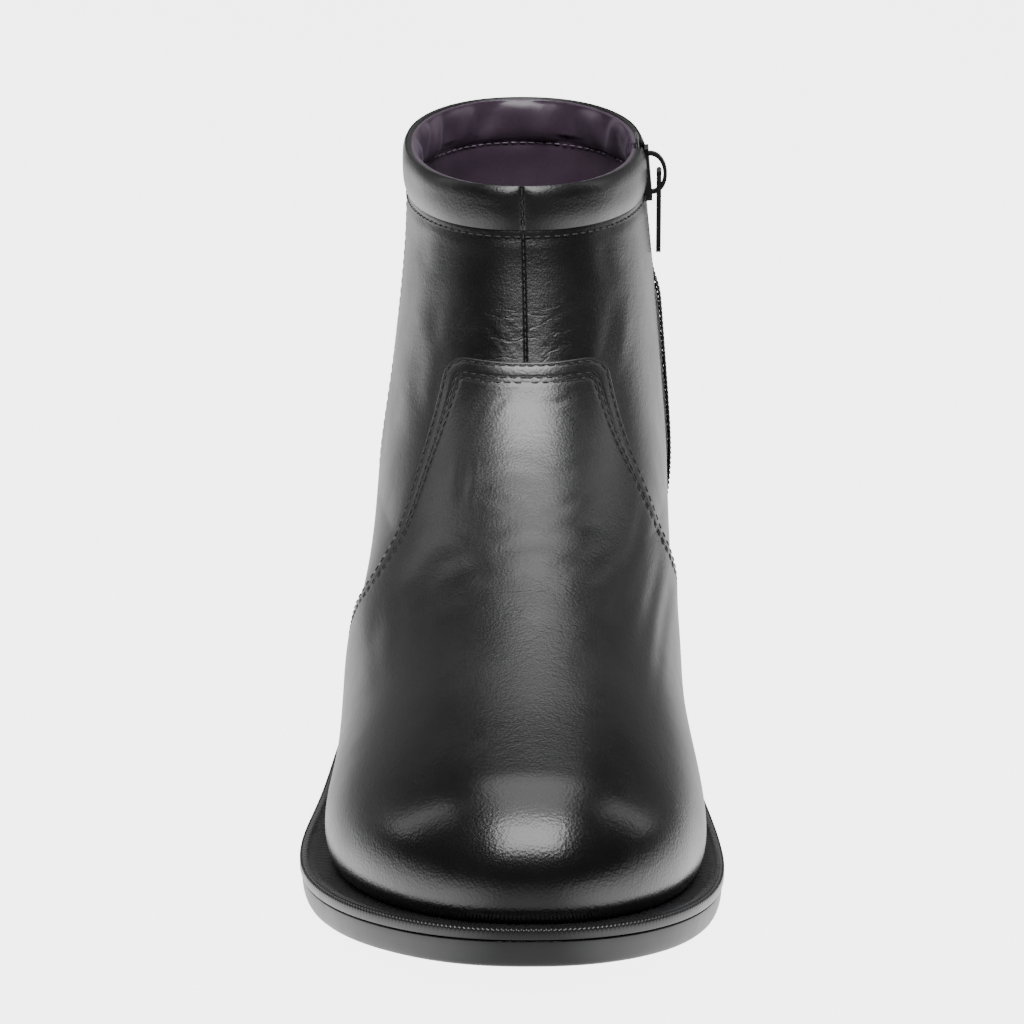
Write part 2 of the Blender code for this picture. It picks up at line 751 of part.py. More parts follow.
def add_zip(grid, normals, fabric, coil, metal):
    frames = zip_frames(grid, normals)
    width = ZIP_SLOT_WIDTH - 2 * TAPE_PLAY
    tape_face = -TAPE_DEPTH
    tape_faces = (tape_face - TAPE_THICKNESS, tape_face)
    add_solid("zip_tape", *strip(frames, width, tape_faces, GAP, TAPE_ABOVE_COLLAR), fabric)
    chain_faces = (tape_face + GAP, tape_face + GAP + CHAIN_THICKNESS)
    add_solid("zip_chain", *strip(frames, CHAIN_WIDTH, chain_faces, *CHAIN_ENDS), coil)

    heights = frames[0][:, 2]
    origin, across, outward, upward = (
        np.array([np.interp(SLIDER_HEIGHT, heights, value[:, k]) for k in range(3)]) for value in frames
    )

    def local(x, y, z):
        return origin + across * x + upward * y + outward * z

    inside = CHAIN_WIDTH / 2 + SLIDER_PLAY
    foot = tape_face + SLIDER_PLAY
    under, over = SLIDER_PLATE
    sections = []
    for share, widening in SLIDER_SECTIONS:
        y = share * SLIDER_LENGTH
        side = SLIDER_WIDTH / 2 + widening
        sections.append([local(*corner) for corner in (
            (-side, y, foot), (-side, y, over), (side, y, over), (side, y, foot),
            (inside, y, foot), (inside, y, under), (-inside, y, under), (-inside, y, foot),
        )])
    slider = add_solid("zip_slider", *tube(sections), metal)
    sections = []
    for angle in np.linspace(0, math.pi, 15):
        mean = (ARCH_LENGTH_OUTSIDE - ARCH_THICKNESS) / 2
        rise = ARCH_TOP - ARCH_THICKNESS / 2 - (under + over) / 2
        flow = np.array([math.sin(angle) / rise, math.cos(angle) / mean])
        flow = flow[::-1] / np.linalg.norm(flow)
        centre = np.array([-mean * math.cos(angle), (under + over) / 2 + rise * math.sin(angle) ** 0.8])
        away = np.array([-flow[0], flow[1]]) * ARCH_THICKNESS / 2
        inner, outer = centre - away, centre + away
        half = ARCH_WIDTH / 2
        sections.append([local(x, *edge) for x, edge in (
            (-half, outer), (half, outer), (half, inner), (-half, inner),
        )])
    apply_boolean(slider, "UNION", helper("slider_arch", *tube(sections)))

    pivot = origin + outward * PIVOT_OUT
    down = np.array([0.0, 0.0, -1.0])
    down -= across * (down @ across)
    down /= np.linalg.norm(down)
    facing = np.cross(across, down)

    def hanging(x, along, z):
        return pivot + across * x + down * along + facing * z

    half = PULL_WIDTH / 2
    edge = [(-half, -PULL_TOP)]
    for angle in np.linspace(math.pi, 0, 9):
        edge.append((half * math.cos(angle), PULL_LENGTH - half + half * math.sin(angle)))
    edge.append((half, -PULL_TOP))
    thick = PULL_THICKNESS / 2
    pull = add_solid(
        "zip_pull", *tube([[hanging(*point, z) for point in edge] for z in (-thick, thick)]), metal, pivot
    )
    eye, gap = PULL_EYE[0], PULL_EYE[1] / 2
    box = ((-gap, -2.0), (-gap, eye), (gap, eye), (gap, -2.0))
    apply_boolean(pull, "DIFFERENCE", helper("pull_eye", *tube(
        [[hanging(*point, z) for point in box] for z in (-2 * thick, 2 * thick)]
    )))
    ends = half + BAR_OVERHANG
    sections = []
    for x in (-ends, ends):
        sections.append([
            hanging(x, PULL_BAR_RADIUS * math.sin(turn), PULL_BAR_RADIUS * math.cos(turn))
            for turn in np.linspace(0, 2 * math.pi, 17)[:-1]
        ])
    apply_boolean(pull, "UNION", helper("pull_bar", *tube(sections)))


def main():
    for left in list(bpy.data.objects):
        bpy.data.objects.remove(left, do_unlink=True)
    leather = material("black_leather", (0.012, 0.012, 0.013), 0.32)
    vamp_leather = material("black_vamp_leather", (0.011, 0.011, 0.012), 0.27)
    welt = material("black_welt", (0.02, 0.02, 0.021), 0.45)
    rubber = material("black_rubber", (0.018, 0.018, 0.019), 0.5)
    insole = material("insole_leather", (0.075, 0.055, 0.075), 0.55)
    fabric = material("zip_fabric", (0.014, 0.014, 0.016), 0.9)
    coil = material("zip_coil", (0.02, 0.02, 0.022), 0.55)
    metal = material("dark_metal", (0.05, 0.05, 0.055), 0.35, 0.9)

    grid = base_surface()
    normals = surface_normals(grid)
    add_upper(grid, normals, leather)
    add_vamp(grid, normals, vamp_leather)
    add_sole(rubber, welt, insole)
    add_zip(grid, normals, fabric, coil, metal)


main()
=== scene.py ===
import math

import bpy
import numpy as np
from mathutils import Matrix


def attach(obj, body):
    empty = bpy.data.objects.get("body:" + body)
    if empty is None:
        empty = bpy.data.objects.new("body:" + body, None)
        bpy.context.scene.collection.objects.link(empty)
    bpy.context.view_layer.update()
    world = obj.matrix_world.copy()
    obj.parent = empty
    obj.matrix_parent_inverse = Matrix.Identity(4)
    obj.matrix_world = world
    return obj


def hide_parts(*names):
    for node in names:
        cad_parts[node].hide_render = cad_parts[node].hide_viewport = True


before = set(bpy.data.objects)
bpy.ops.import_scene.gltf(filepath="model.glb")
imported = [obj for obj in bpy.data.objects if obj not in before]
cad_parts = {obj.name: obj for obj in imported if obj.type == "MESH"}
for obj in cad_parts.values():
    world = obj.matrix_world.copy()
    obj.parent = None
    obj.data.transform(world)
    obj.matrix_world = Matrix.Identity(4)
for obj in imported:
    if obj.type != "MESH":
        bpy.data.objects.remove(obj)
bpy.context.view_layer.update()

# A black zip ankle boot for the right foot, standing empty. Everything below is worked out in millimetres:
# "along" is the distance forward from the back of the sole, heights are from the floor, the toe points
# to -Y and the inner side of the foot is +X.
mm = 0.001

shoe = {
    "gap": 0.3,
    "soleLength": 305.0,
    "heelTreadCentre": 34.0,
    "upperTip": 298.2,
    "wall": 2.0,
    "weltThickness": 3.2,
    "outsoleThickness": 7.3,
    "toeWallLength": 25.0,
    "toeWallSquareness": 2.3,
    "treadFlat": (172.0, 225.0),
    "toeSpring": 9.1,
    "heelRise": 17.9,
    "archLength": 155.0,
    "heelLength": 70.0,
    "topLift": 6.0,
    "collarHeight": 163.3,
    "collarDip": 1.0,
    "bandStart": 0.895,  # share of the upper's rise at which the padded band starts
    "toeSquareness": 2.4,
    "heelRound": 36.0,
    "forefootEnds": 182.0,
    "legBegins": 128.0,
    "planToLeg": (30.0, 78.0),
    "wallTurn": 78.0,  # degrees that the wall turns in under the widest line
}
toeRound = {"inner": 75.0, "outer": 92.0}

plan = np.array([  # along, ridge, inner, outer
    (0.0, 0.0, 33.0, -33.5), (35.0, 0.0, 35.0, -35.0), (75.0, 0.8, 38.5, -38.0), (115.0, 2.5, 42.5, -43.5),
    (150.0, 3.4, 43.2, -47.0), (185.0, 3.8, 44.6, -47.9), (215.0, 3.8, 46.8, -49.6),
    (245.0, 3.4, 47.2, -50.4), (275.0, 2.8, 45.0, -46.6), (305.0, 2.0, 38.4, -38.5),
])
bulge = np.array([  # along, height of the widest line above the feather line
    (0.0, 13.0), (60.0, 13.0), (130.0, 11.0), (200.0, 8.0), (260.0, 7.0), (305.0, 7.5),
])
frontLine = np.array([  # along, height of the front outline, toe to collar
    (305.0, 41.5), (280.0, 47.5), (250.0, 55.0), (220.0, 63.7), (190.0, 75.2), (163.0, 90.8),
    (143.0, 110.0), (131.0, 132.0), (124.5, 148.0), (121.5, 163.5),
])
backLine = np.array([  # height, along of the back outline
    (28.0, 4.5), (42.0, 1.5), (58.0, 0.2), (78.0, 2.6), (100.0, 7.6), (122.0, 11.0), (145.0, 12.0),
    (170.0, 10.5),
])
leg = np.array([  # height, centre, inner, outer, front share, squareness
    (40.0, 1.0, 39.0, -38.5, 0.62, 2.3), (65.0, 1.5, 41.8, -40.6, 0.60, 2.3),
    (95.0, 1.5, 40.6, -37.2, 0.58, 2.25), (120.0, 1.5, 38.6, -34.2, 0.56, 2.2),
    (145.0, 1.0, 36.2, -32.4, 0.55, 2.2), (165.0, 0.4, 34.5, -32.9, 0.54, 2.2),
])
forefootSquareness = np.array([  # along, exponent on the inner side, on the outer side
    (120.0, 2.1, 2.15), (165.0, 2.05, 1.88), (200.0, 1.93, 1.7), (250.0, 2.0, 1.85), (305.0, 2.3, 2.2),
])
ledge = np.array([  # along, how far the welt stands out on the inner side, on the outer side
    (0.0, 4.8, 4.8), (60.0, 4.8, 4.8), (130.0, 6.0, 5.6), (190.0, 7.4, 8.8), (225.0, 8.6, 10.8),
    (250.0, 9.4, 10.8), (305.0, 8.6, 7.4),
])
inset = np.array([  # along, how far the upper's lower edge lies inside its widest line, inner, outer
    (0.0, 2.6, 2.6), (65.0, 2.8, 2.6), (120.0, 6.0, 3.2), (170.0, 3.0, 2.6), (210.0, 2.6, 2.6),
    (305.0, 2.6, 2.6),
])
vampEdge = np.array([  # height, along on the inner side, on the outer side
    (10.0, 101.0, 115.0), (22.0, 108.0, 122.5), (35.0, 118.0, 133.0), (48.0, 129.5, 145.0),
    (60.0, 138.5, 153.5), (70.0, 142.0, 154.5), (80.0, 141.5, 149.5), (90.0, 139.0, 142.0),
    (100.0, 135.0, 135.5), (110.0, 130.5, 130.5), (120.0, 127.0, 127.0),
])
zipLine = np.array([(30.0, 81.0), (100.0, 71.0), (172.0, 66.0)])  # height, along


# Natural cubic through a table's first column and another one, straight beyond its ends.
def spline(table, x, column=1):
    xs, ys = table[:, 0], table[:, column]
    if xs[0] > xs[-1]:
        xs, ys = xs[::-1], ys[::-1]
    count = len(xs)
    h = np.diff(xs)
    slope = np.diff(ys) / h
    matrix = np.eye(count)
    right = np.zeros(count)
    for i in range(1, count - 1):
        matrix[i, i - 1: i + 2] = h[i - 1], 2 * (h[i - 1] + h[i]), h[i]
        right[i] = 6 * (slope[i] - slope[i - 1])
    bend = np.linalg.solve(matrix, right)
    x = np.asarray(x, float)
    inside = np.clip(x, xs[0], xs[-1])
    i = np.clip(np.searchsorted(xs, inside) - 1, 0, count - 2)
    a, b = xs[i + 1] - inside, inside - xs[i]
    value = (
        (bend[i] * a ** 3 + bend[i + 1] * b ** 3) / (6 * h[i])
        + (ys[i] / h[i] - bend[i] * h[i] / 6) * a
        + (ys[i + 1] / h[i] - bend[i + 1] * h[i] / 6) * b
    )
    first = slope[0] - h[0] * bend[1] / 6
    last = slope[-1] + h[-1] * bend[-2] / 6
    return value + np.minimum(x - xs[0], 0) * first + np.maximum(x - xs[-1], 0) * last


# A share from 0 at low to 1 at high: 10 t^3 - 15 t^4 + 6 t^5.
def smoothStep(x, low, high):
    t = np.clip((x - low) / (high - low), 0, 1)
    return t * t * t * (10 - 15 * t + 6 * t * t)


# Share of the full width at a distance from a rounded end, which is a superellipse.
def roundEnd(distance, depth, squareness):
    t = 1 - np.clip(distance / depth, 0, 1)
    return np.maximum(1 - t ** squareness, 0) ** (1 / squareness)


# Height of the outsole's underside: flat under the ball, rising to the toe and over the arch to the heel.
def treadHeight(along):
    start, end = shoe["treadFlat"]
    spring = np.clip((along - end) / (shoe["soleLength"] - end), 0, None)
    arch = np.clip((start - along) / shoe["archLength"], 0, 1)
    return shoe["toeSpring"] * spring ** 1.9 + shoe["heelRise"] * arch * arch * (3 - 2 * arch)


# Height of the upper's lower edge: tread, outsole, welt and their two gaps.
def featherHeight(along):
    return treadHeight(along) + shoe["outsoleThickness"] + shoe["weltThickness"] + 2 * shoe["gap"]


# Height of the widest line: the feather line and the bulge above it.
def widestHeight(along):
    return featherHeight(along) + spline(bulge, along)


# The side view's front outline as dense (along, height): the table's curve, drawn down at the toe by a
# superellipse that ends upright at the tip.
def frontOutline():
    steps = np.linspace(0, 1, len(frontLine))
    t = np.linspace(0, 1, 3000)
    topAlong = spline(np.column_stack([steps, frontLine[:, 0]]), t)
    topHeight = spline(np.column_stack([steps, frontLine[:, 1]]), t)
    tip = shoe["upperTip"] - np.linspace(0, 1, 300) ** 2 * 6
    shaft = topAlong < tip[-1]
    along = np.concatenate([tip, topAlong[shaft]])
    height = np.concatenate([np.interp(-tip, -topAlong, topHeight), topHeight[shaft]])
    low = widestHeight(along)
    wall = roundEnd(shoe["upperTip"] - along, shoe["toeWallLength"], shoe["toeWallSquareness"])
    return along, low + (height - low) * wall


frontAlong, frontHeight = frontOutline()
frontLength = np.concatenate([[0], np.cumsum(np.hypot(np.diff(frontAlong), np.diff(frontHeight)))])


# Half width of the forefoot: a superellipse section between widest line and ridge, times the plan's width,
# closed at the toe by another superellipse.
def forefootSide(along, height, side):
    column = 1 if side == "inner" else 2
    low = widestHeight(along)
    top = np.interp(-along, -frontAlong, frontHeight)
    squareness = spline(forefootSquareness, along, column)
    rise = np.clip((height - low) / np.maximum(top - low, 1e-6), 0, 1)
    section = np.maximum(1 - rise ** squareness, 0) ** (1 / squareness)
    toe = roundEnd(shoe["upperTip"] - along, toeRound[side], shoe["toeSquareness"])
    ridge = spline(plan, along, 1)
    return ridge + (spline(plan, along, column + 1) - ridge) * toe * section


# Half width of the heel and leg: the level's width, closed at front and back by superellipses.
def legSide(along, height, side):
    column = 2 if side == "inner" else 3
    toLeg = smoothStep(height, *shoe["planToLeg"])
    centre = spline(plan, along, 1) * (1 - toLeg) + spline(leg, height, 1) * toLeg
    edge = spline(plan, along, column) * (1 - toLeg) + spline(leg, height, column) * toLeg
    front = np.interp(height, frontHeight, frontAlong)
    back = spline(backLine, height)
    length = front - back
    share = spline(leg, height, 4)
    squareness = spline(leg, height, 5)
    backDepth = shoe["heelRound"] * (1 - toLeg) + (1 - share) * length * toLeg
    frontDepth = np.minimum(share * length, 115.0)
    ends = roundEnd(front - along, frontDepth, squareness) * roundEnd(along - back, backDepth, squareness)
    return centre + (edge - centre) * ends


# The forefoot's and the leg's widths, blended over a stretch of the foot.
def sideOfUpper(along, height, side):
    share = 1 - smoothStep(along, shoe["legBegins"], shoe["forefootEnds"])
    return (1 - share) * forefootSide(along, height, side) + share * legSide(along, height, side)


# (along, height) on a ring of the upper: the ring glides up the front and back outlines with its share,
# which is 0 at the widest line and 1 at the collar, and q runs from its front point to its back point.
def ringPath(share, q):
    climb = share * (1 - share) ** 2 + share ** 2 * (3 - 2 * share) - 0.35 * share ** 2 * (1 - share)
    reach = frontLength[-1] * climb
    front = np.interp(reach, frontLength, frontAlong), np.interp(reach, frontLength, frontHeight)
    low = widestHeight(1.5)
    height = low + (shoe["collarHeight"] - low) * share
    back = spline(backLine, height), height
    along = front[0] + (back[0] - front[0]) * q
    chord = front[1] + (back[1] - front[1]) * q
    end = spline(backLine, low)
    baseAlong = shoe["upperTip"] + (end - shoe["upperTip"]) * q
    baseChord = widestHeight(shoe["upperTip"]) + (low - widestHeight(shoe["upperTip"])) * q
    sag = (widestHeight(baseAlong) - baseChord) * (1 - share) ** 2
    dip = -shoe["collarDip"] * np.sin(math.pi * q) * share ** 3
    return along, chord + sag + dip


# Point of the leather's face. u goes from the front line (0) round the inner side to the back (1), or
# round the outer side (-1). v is -1 at the feather line, 0 at the widest line and 1 at the collar.
def ringPoint(u, share):
    u = np.where(u > 1, u - 2, np.where(u < -1, u + 2, u))
    q = (1 - np.cos(math.pi * np.abs(u))) / 2
    along, height = ringPath(share, q)
    x = np.where(u >= 0, sideOfUpper(along, height, "inner"), sideOfUpper(along, height, "outer"))
    return np.stack([x, shoe["heelTreadCentre"] - along, height], axis=-1)


# Each vector divided by its length.
def unit(vectors):
    return vectors / np.maximum(np.linalg.norm(vectors, axis=-1), 1e-12)[..., None]


# Distance along of points, from the back of the sole.
def alongOf(points):
    return shoe["heelTreadCentre"] - points[..., 1]


# A table read in its inner column for u above 0 and in its outer column below it.
def bySide(table, u, along):
    return np.where(u >= 0, spline(table, along, 1), spline(table, along, 2))


# Outward direction in plan of the widest ring.
def planNormal(u):
    ahead = ringPoint(u + 2e-3, 0.0 * u) - ringPoint(u - 2e-3, 0.0 * u)
    return unit(np.stack([ahead[..., 1], -ahead[..., 0], 0 * ahead[..., 0]], axis=-1))


# The ring's point, and under the widest line a quarter turn inwards and down to the feather line.
def upperPoint(u, v):
    u, v = np.broadcast_arrays(np.asarray(u, float), np.asarray(v, float))
    points = ringPoint(u, np.maximum(v, 0))
    end = math.radians(shoe["wallTurn"])
    turn = np.clip(-v, 0, 1) * end
    wide = alongOf(points)
    inwards = bySide(inset, u, wide) * (1 - np.cos(turn)) / (1 - math.cos(end))
    below = points - planNormal(u) * inwards[..., None]
    down = (featherHeight(alongOf(below)) - points[..., 2]) * np.sin(turn) / math.sin(end)
    below[..., 2] = points[..., 2] + down
    return np.where((v < 0)[..., None], below, points)


# Outward normal of the leather's face: around times up, from the surface's own differences.
def upperNormal(u, v):
    step = 1.5e-3
    around = upperPoint(u + step, v) - upperPoint(u - step, v)
    up = upperPoint(u, np.minimum(v + step, 1)) - upperPoint(u, np.maximum(v - step, -1))
    return unit(np.cross(around, up))


# Running length of a line of points, starting at 0.
def lengths(points):
    return np.concatenate([[0], np.cumsum(np.linalg.norm(np.diff(points, axis=0), axis=1))])


# The line's points at these lengths along it, for any number of coordinates.
def atLengths(points, run, wanted):
    return np.stack([np.interp(wanted, run, points[:, k]) for k in range(points.shape[1])], axis=1)


# Parameters (u, v) of points on one side, given by their distance along and height: the nearest of a
# coarse net, then four Newton steps.
def parametersAt(along, height, sign):
    along, height = np.asarray(along, float), np.asarray(height, float)
    us = np.linspace(0.02, 0.98, 140) * sign
    vs = np.linspace(-1, 1, 220)
    net = upperPoint(us[None, :], vs[:, None])
    far = (alongOf(net)[..., None] - along) ** 2 + (net[..., 2][..., None] - height) ** 2
    near = far.reshape(-1, len(along)).argmin(axis=0)
    v, u = vs[near // len(us)], us[near % len(us)]
    for _ in range(4):
        here = upperPoint(u, v)
        stepU, stepV = upperPoint(u + 1e-4, v), upperPoint(u, v + 1e-4)
        a = (alongOf(stepU) - alongOf(here)) / 1e-4
        b = (alongOf(stepV) - alongOf(here)) / 1e-4
        c = (stepU[..., 2] - here[..., 2]) / 1e-4
        d = (stepV[..., 2] - here[..., 2]) / 1e-4
        e, f = along - alongOf(here), height - here[..., 2]
        turn = a * d - b * c
        turn = np.where(np.abs(turn) < 1e-3, 1e-3, turn)
        u = np.clip(u + np.clip((e * d - b * f) / turn, -0.02, 0.02), -1, 1)
        v = np.clip(v + np.clip((a * f - e * c) / turn, -0.02, 0.02), -1, 1)
    return u, v


# Distance inside the vamp's edge, whose two upper corners are rounded.
def insideVamp(u, v):
    points = upperPoint(u, v)
    fromBack = alongOf(points) - bySide(vampEdge, u, points[..., 2])
    fromTop = vampCut["top"] - points[..., 2]
    radius = vampCut["corner"]
    corner = np.hypot(np.maximum(radius - fromBack, 0), np.maximum(radius - fromTop, 0))
    return radius - corner + np.maximum(np.minimum(fromBack, fromTop) - radius, 0)


# A mesh from points in millimetres and lists of faces, without the points that no face uses.
def makeMesh(name, points, faces, materials, faceMaterial=None, smooth=True):
    mesh = bpy.data.meshes.new(name)
    faces = [np.asarray(f).reshape(len(f), -1) for f in faces if len(f)]
    loops = np.concatenate([f.ravel() for f in faces])
    sizes = np.concatenate([np.full(len(f), f.shape[1]) for f in faces])
    used, loops = np.unique(loops, return_inverse=True)
    loops = loops.ravel()
    points = np.asarray(points, float).reshape(-1, 3)[used] * mm
    mesh.vertices.add(len(points))
    mesh.vertices.foreach_set("co", points.astype(np.float32).ravel())
    mesh.loops.add(len(loops))
    mesh.loops.foreach_set("vertex_index", loops.astype(np.int32))
    mesh.polygons.add(len(sizes))
    mesh.polygons.foreach_set("loop_start", (np.cumsum(sizes) - sizes).astype(np.int32))
    mesh.polygons.foreach_set("use_smooth", np.full(len(sizes), smooth))
    for made in materials:
        mesh.materials.append(made)
    if faceMaterial is not None:
        mesh.polygons.foreach_set("material_index", faceMaterial.astype(np.int32))
    mesh.update(calc_edges=True)
    mesh.validate()
    piece = bpy.data.objects.new(name, mesh)
    bpy.context.scene.collection.objects.link(piece)
    return piece, used


# Quads between neighbouring rows of an index grid whose columns close on themselves.
def ringQuads(index):
    after = np.roll(index, -1, axis=1)
    return np.stack([index[:-1], index[1:], after[1:], after[:-1]], axis=-1).reshape(-1, 4)


# A closed wall between two grids of points: each kept cell has an outer and an inner face, and every
# border of the kept cells gets a strip that closes it.
def wallFaces(rows, columns, keep, closed):
    index = np.arange(rows * columns).reshape(rows, columns)
    after = np.roll(index, -1, axis=1)
    if not closed:
        index, after = index[:, :-1], after[:, :-1]
    count = rows * columns
    a, b, c, d = index[:-1], after[:-1], after[1:], index[1:]
    outer = np.stack([a, b, c, d], axis=-1)[keep]
    inner = np.stack([d, c, b, a], axis=-1)[keep] + count
    empty = np.zeros_like(keep[:1])
    below = keep & ~np.concatenate([empty, keep[:-1]])
    above = keep & ~np.concatenate([keep[1:], empty])
    if closed:
        before, behind = keep & ~np.roll(keep, 1, axis=1), keep & ~np.roll(keep, -1, axis=1)
    else:
        edge = np.zeros_like(keep[:, :1])
        before = keep & ~np.concatenate([edge, keep[:, :-1]], axis=1)
        behind = keep & ~np.concatenate([keep[:, 1:], edge], axis=1)
    strips = [
        np.stack([b, a, a + count, b + count], axis=-1)[below],
        np.stack([d, c, c + count, d + count], axis=-1)[above],
        np.stack([a, d, d + count, a + count], axis=-1)[before],
        np.stack([c, b, b + count, c + count], axis=-1)[behind],
    ]
    return np.concatenate([outer, inner] + [s for s in strips if len(s)])


# A wall between an outer and an inner grid as one mesh, its strips in a material of their own.
def shell(name, outer, inner, materials, keep=None, closed=True, edgeMaterial=0):
    rows, columns = outer.shape[:2]
    if keep is None:
        keep = np.ones((rows - 1, columns - (0 if closed else 1)), bool)
    faces = wallFaces(rows, columns, keep, closed)
    points = np.concatenate([outer.reshape(-1, 3), inner.reshape(-1, 3)])
    faceMaterial = np.where(np.arange(len(faces)) < 2 * keep.sum(), 0, edgeMaterial)
    return makeMesh(name, points, [faces], materials, faceMaterial)[0]


# A Principled material with its constants set on the shader.
def newMaterial(name, look):
    made = bpy.data.materials.new(name)
    made.use_nodes = True
    shader = made.node_tree.nodes["Principled BSDF"]
    for socket, value in look.items():
        shader.inputs[socket].default_value = value
    return made, made.node_tree, shader


# A node with values set on its sockets, or on itself where no socket has the name.
def addNode(tree, kind, **values):
    node = tree.nodes.new(kind)
    for key, value in values.items():
        if key in node.inputs:
            node.inputs[key].default_value = value
        else:
            setattr(node, key, value)
    return node


# Object coordinates in millimetres.
def millimetres(tree, stretch=(1.0, 1.0, 1.0)):
    coordinates = tree.nodes.new("ShaderNodeTexCoord")
    mapping = addNode(tree, "ShaderNodeMapping", Scale=[s / mm for s in stretch])
    tree.links.new(coordinates.outputs["Object"], mapping.inputs["Vector"])
    return mapping.outputs["Vector"]


# Noise with features of about this size in millimetres.
def noise(tree, vector, size, detail=3.0, roughness=0.5, distortion=0.0):
    node = addNode(tree, "ShaderNodeTexNoise", Scale=1 / size, Detail=detail, Roughness=roughness,
                   Distortion=distortion)
    tree.links.new(vector, node.inputs["Vector"])
    return node.outputs["Fac"]


# A value mapped evenly from one range to another, and clamped.
def ramp(tree, value, low, high, fromLow=0.3, fromHigh=0.7):
    node = addNode(tree, "ShaderNodeMapRange", **{
        "From Min": fromLow, "From Max": fromHigh, "To Min": low, "To Max": high,
    })
    tree.links.new(value, node.inputs["Value"])
    return node.outputs["Result"]


# Two colours mixed by a share.
def mixColours(tree, share, first, second):
    node = addNode(tree, "ShaderNodeMix", data_type="RGBA")
    tree.links.new(share, node.inputs["Factor"])
    node.inputs["A"].default_value = (*first, 1)
    node.inputs["B"].default_value = (*second, 1)
    return node.outputs["Result"]


# One arithmetic step on sockets or numbers.
def maths(tree, operation, first, second):
    node = addNode(tree, "ShaderNodeMath", operation=operation)
    for socket, value in zip(node.inputs, (first, second)):
        if isinstance(value, (int, float)):
            socket.default_value = value
        else:
            tree.links.new(value, socket)
    return node.outputs["Value"]


# Bumps laid on each other: each is (height socket, its height in millimetres).
def bumps(tree, shader, layers):
    normal = None
    for height, tall in layers:
        node = tree.nodes.new("ShaderNodeBump")
        node.inputs["Distance"].default_value = tall * mm
        tree.links.new(height, node.inputs["Height"])
        if normal is not None:
            tree.links.new(normal, node.inputs["Normal"])
        normal = node.outputs["Normal"]
    tree.links.new(normal, shader.inputs["Normal"])


leatherLook = {
    "dark": (0.0035, 0.0035, 0.0038), "light": (0.0085, 0.0085, 0.009),
    "roughness": (0.30, 0.42), "polished": 0.0, "pore": 0.75, "poreDepth": 0.04, "wrinkleDepth": 0.03,
    "creaseSize": 4.5, "creaseDepth": 0.10, "streakDepth": 0.05, "coat": 0.12, "coatRoughness": 0.30,
    "gloss": 0.5, "lineSize": 5.0, "lineHeights": (114.0, 119.0, 126.0, 138.0), "lineDepth": 0.05,
    "polishEnds": (-235.0, -195.0), "glossEnds": (-240.0, -205.0), "lineSides": (14.0, 26.0),
    "streakSides": (12.0, 34.0),
}


# Smooth calf: fine pores, soft creases and fine lines that run across the foot, burnished streaks at the
# sides, and gloss that varies in patches and rises at the polished toe.
def leather(name, look):
    made, tree, shader = newMaterial(name, {
        "Coat Weight": look["coat"], "Coat Roughness": look["coatRoughness"],
    })
    place = millimetres(tree)
    cloudy = noise(tree, place, 26.0, 4.0, 0.6)
    tree.links.new(mixColours(tree, cloudy, look["dark"], look["light"]), shader.inputs["Base Color"])
    apart = tree.nodes.new("ShaderNodeSeparateXYZ")
    tree.links.new(place, apart.inputs["Vector"])
    polish = ramp(tree, apart.outputs["Y"], look["polished"], 0.0, *look["polishEnds"])
    tree.links.new(maths(tree, "SUBTRACT", ramp(tree, cloudy, *look["roughness"]), polish),
                   shader.inputs["Roughness"])
    tree.links.new(ramp(tree, apart.outputs["Y"], 0.5, look["gloss"], *look["glossEnds"]),
                   shader.inputs["Specular IOR Level"])
    pores = addNode(tree, "ShaderNodeTexVoronoi", Scale=1 / look["pore"])
    tree.links.new(place, pores.inputs["Vector"])
    wavy = noise(tree, millimetres(tree, (0.45, 1.0, 1.0)), look["creaseSize"],
                 5.0, 0.62, 0.6)
    streaks = noise(tree, millimetres(tree, (1.0, 0.16, 0.3)), 1.5, 4.0, 0.6, 0.3)
    wrinkles = noise(tree, millimetres(tree, (0.35, 0.8, 1.0)), 1.1, 3.0, 0.6, 0.8)
    wander = noise(tree, millimetres(tree, (0.28, 0.6, 1.0)), look["lineSize"],
                   3.0, 0.5, 0.35)
    fromLine = maths(tree, "ABSOLUTE", maths(tree, "SUBTRACT", wander, 0.5), 0.0)
    line = ramp(tree, fromLine, 0.0, 1.0, 0.0, 0.03)
    low, full, fullTop, high = look["lineHeights"]
    band = maths(tree, "MULTIPLY", ramp(tree, apart.outputs["Z"], 0.0, 1.0, low, full),
                 ramp(tree, apart.outputs["Z"], 1.0, 0.0, fullTop, high))
    fromMiddle = maths(tree, "ABSOLUTE", apart.outputs["X"], 0.0)
    middle = ramp(tree, fromMiddle, 1.0, 0.0, *look["lineSides"])
    lines = maths(tree, "MULTIPLY", line, maths(tree, "MULTIPLY", band, middle))
    sideways = ramp(tree, fromMiddle, 0.15, 1.0, *look["streakSides"])
    bumps(tree, shader, [
        (pores.outputs["Distance"], look["poreDepth"]), (wrinkles, look["wrinkleDepth"]),
        (wavy, look["creaseDepth"]), (lines, look["lineDepth"]),
        (maths(tree, "MULTIPLY", streaks, sideways), look["streakDepth"]),
    ])
    return made


# A plain moulded or edge surface: cloudy colour and gloss, and a fine bump.
def softRubber(name, colour, roughness, streak):
    made, tree, shader = newMaterial(name, {})
    place = millimetres(tree, (1.0, 1.0, 0.5))
    cloudy = noise(tree, place, 9.0, 5.0, 0.65)
    tree.links.new(mixColours(tree, cloudy, [0.8 * c for c in colour], [1.25 * c for c in colour]),
                   shader.inputs["Base Color"])
    tree.links.new(ramp(tree, cloudy, roughness - 0.06, roughness + 0.06), shader.inputs["Roughness"])
    bumps(tree, shader, [(noise(tree, place, 0.5, 3.0), streak)])
    return made


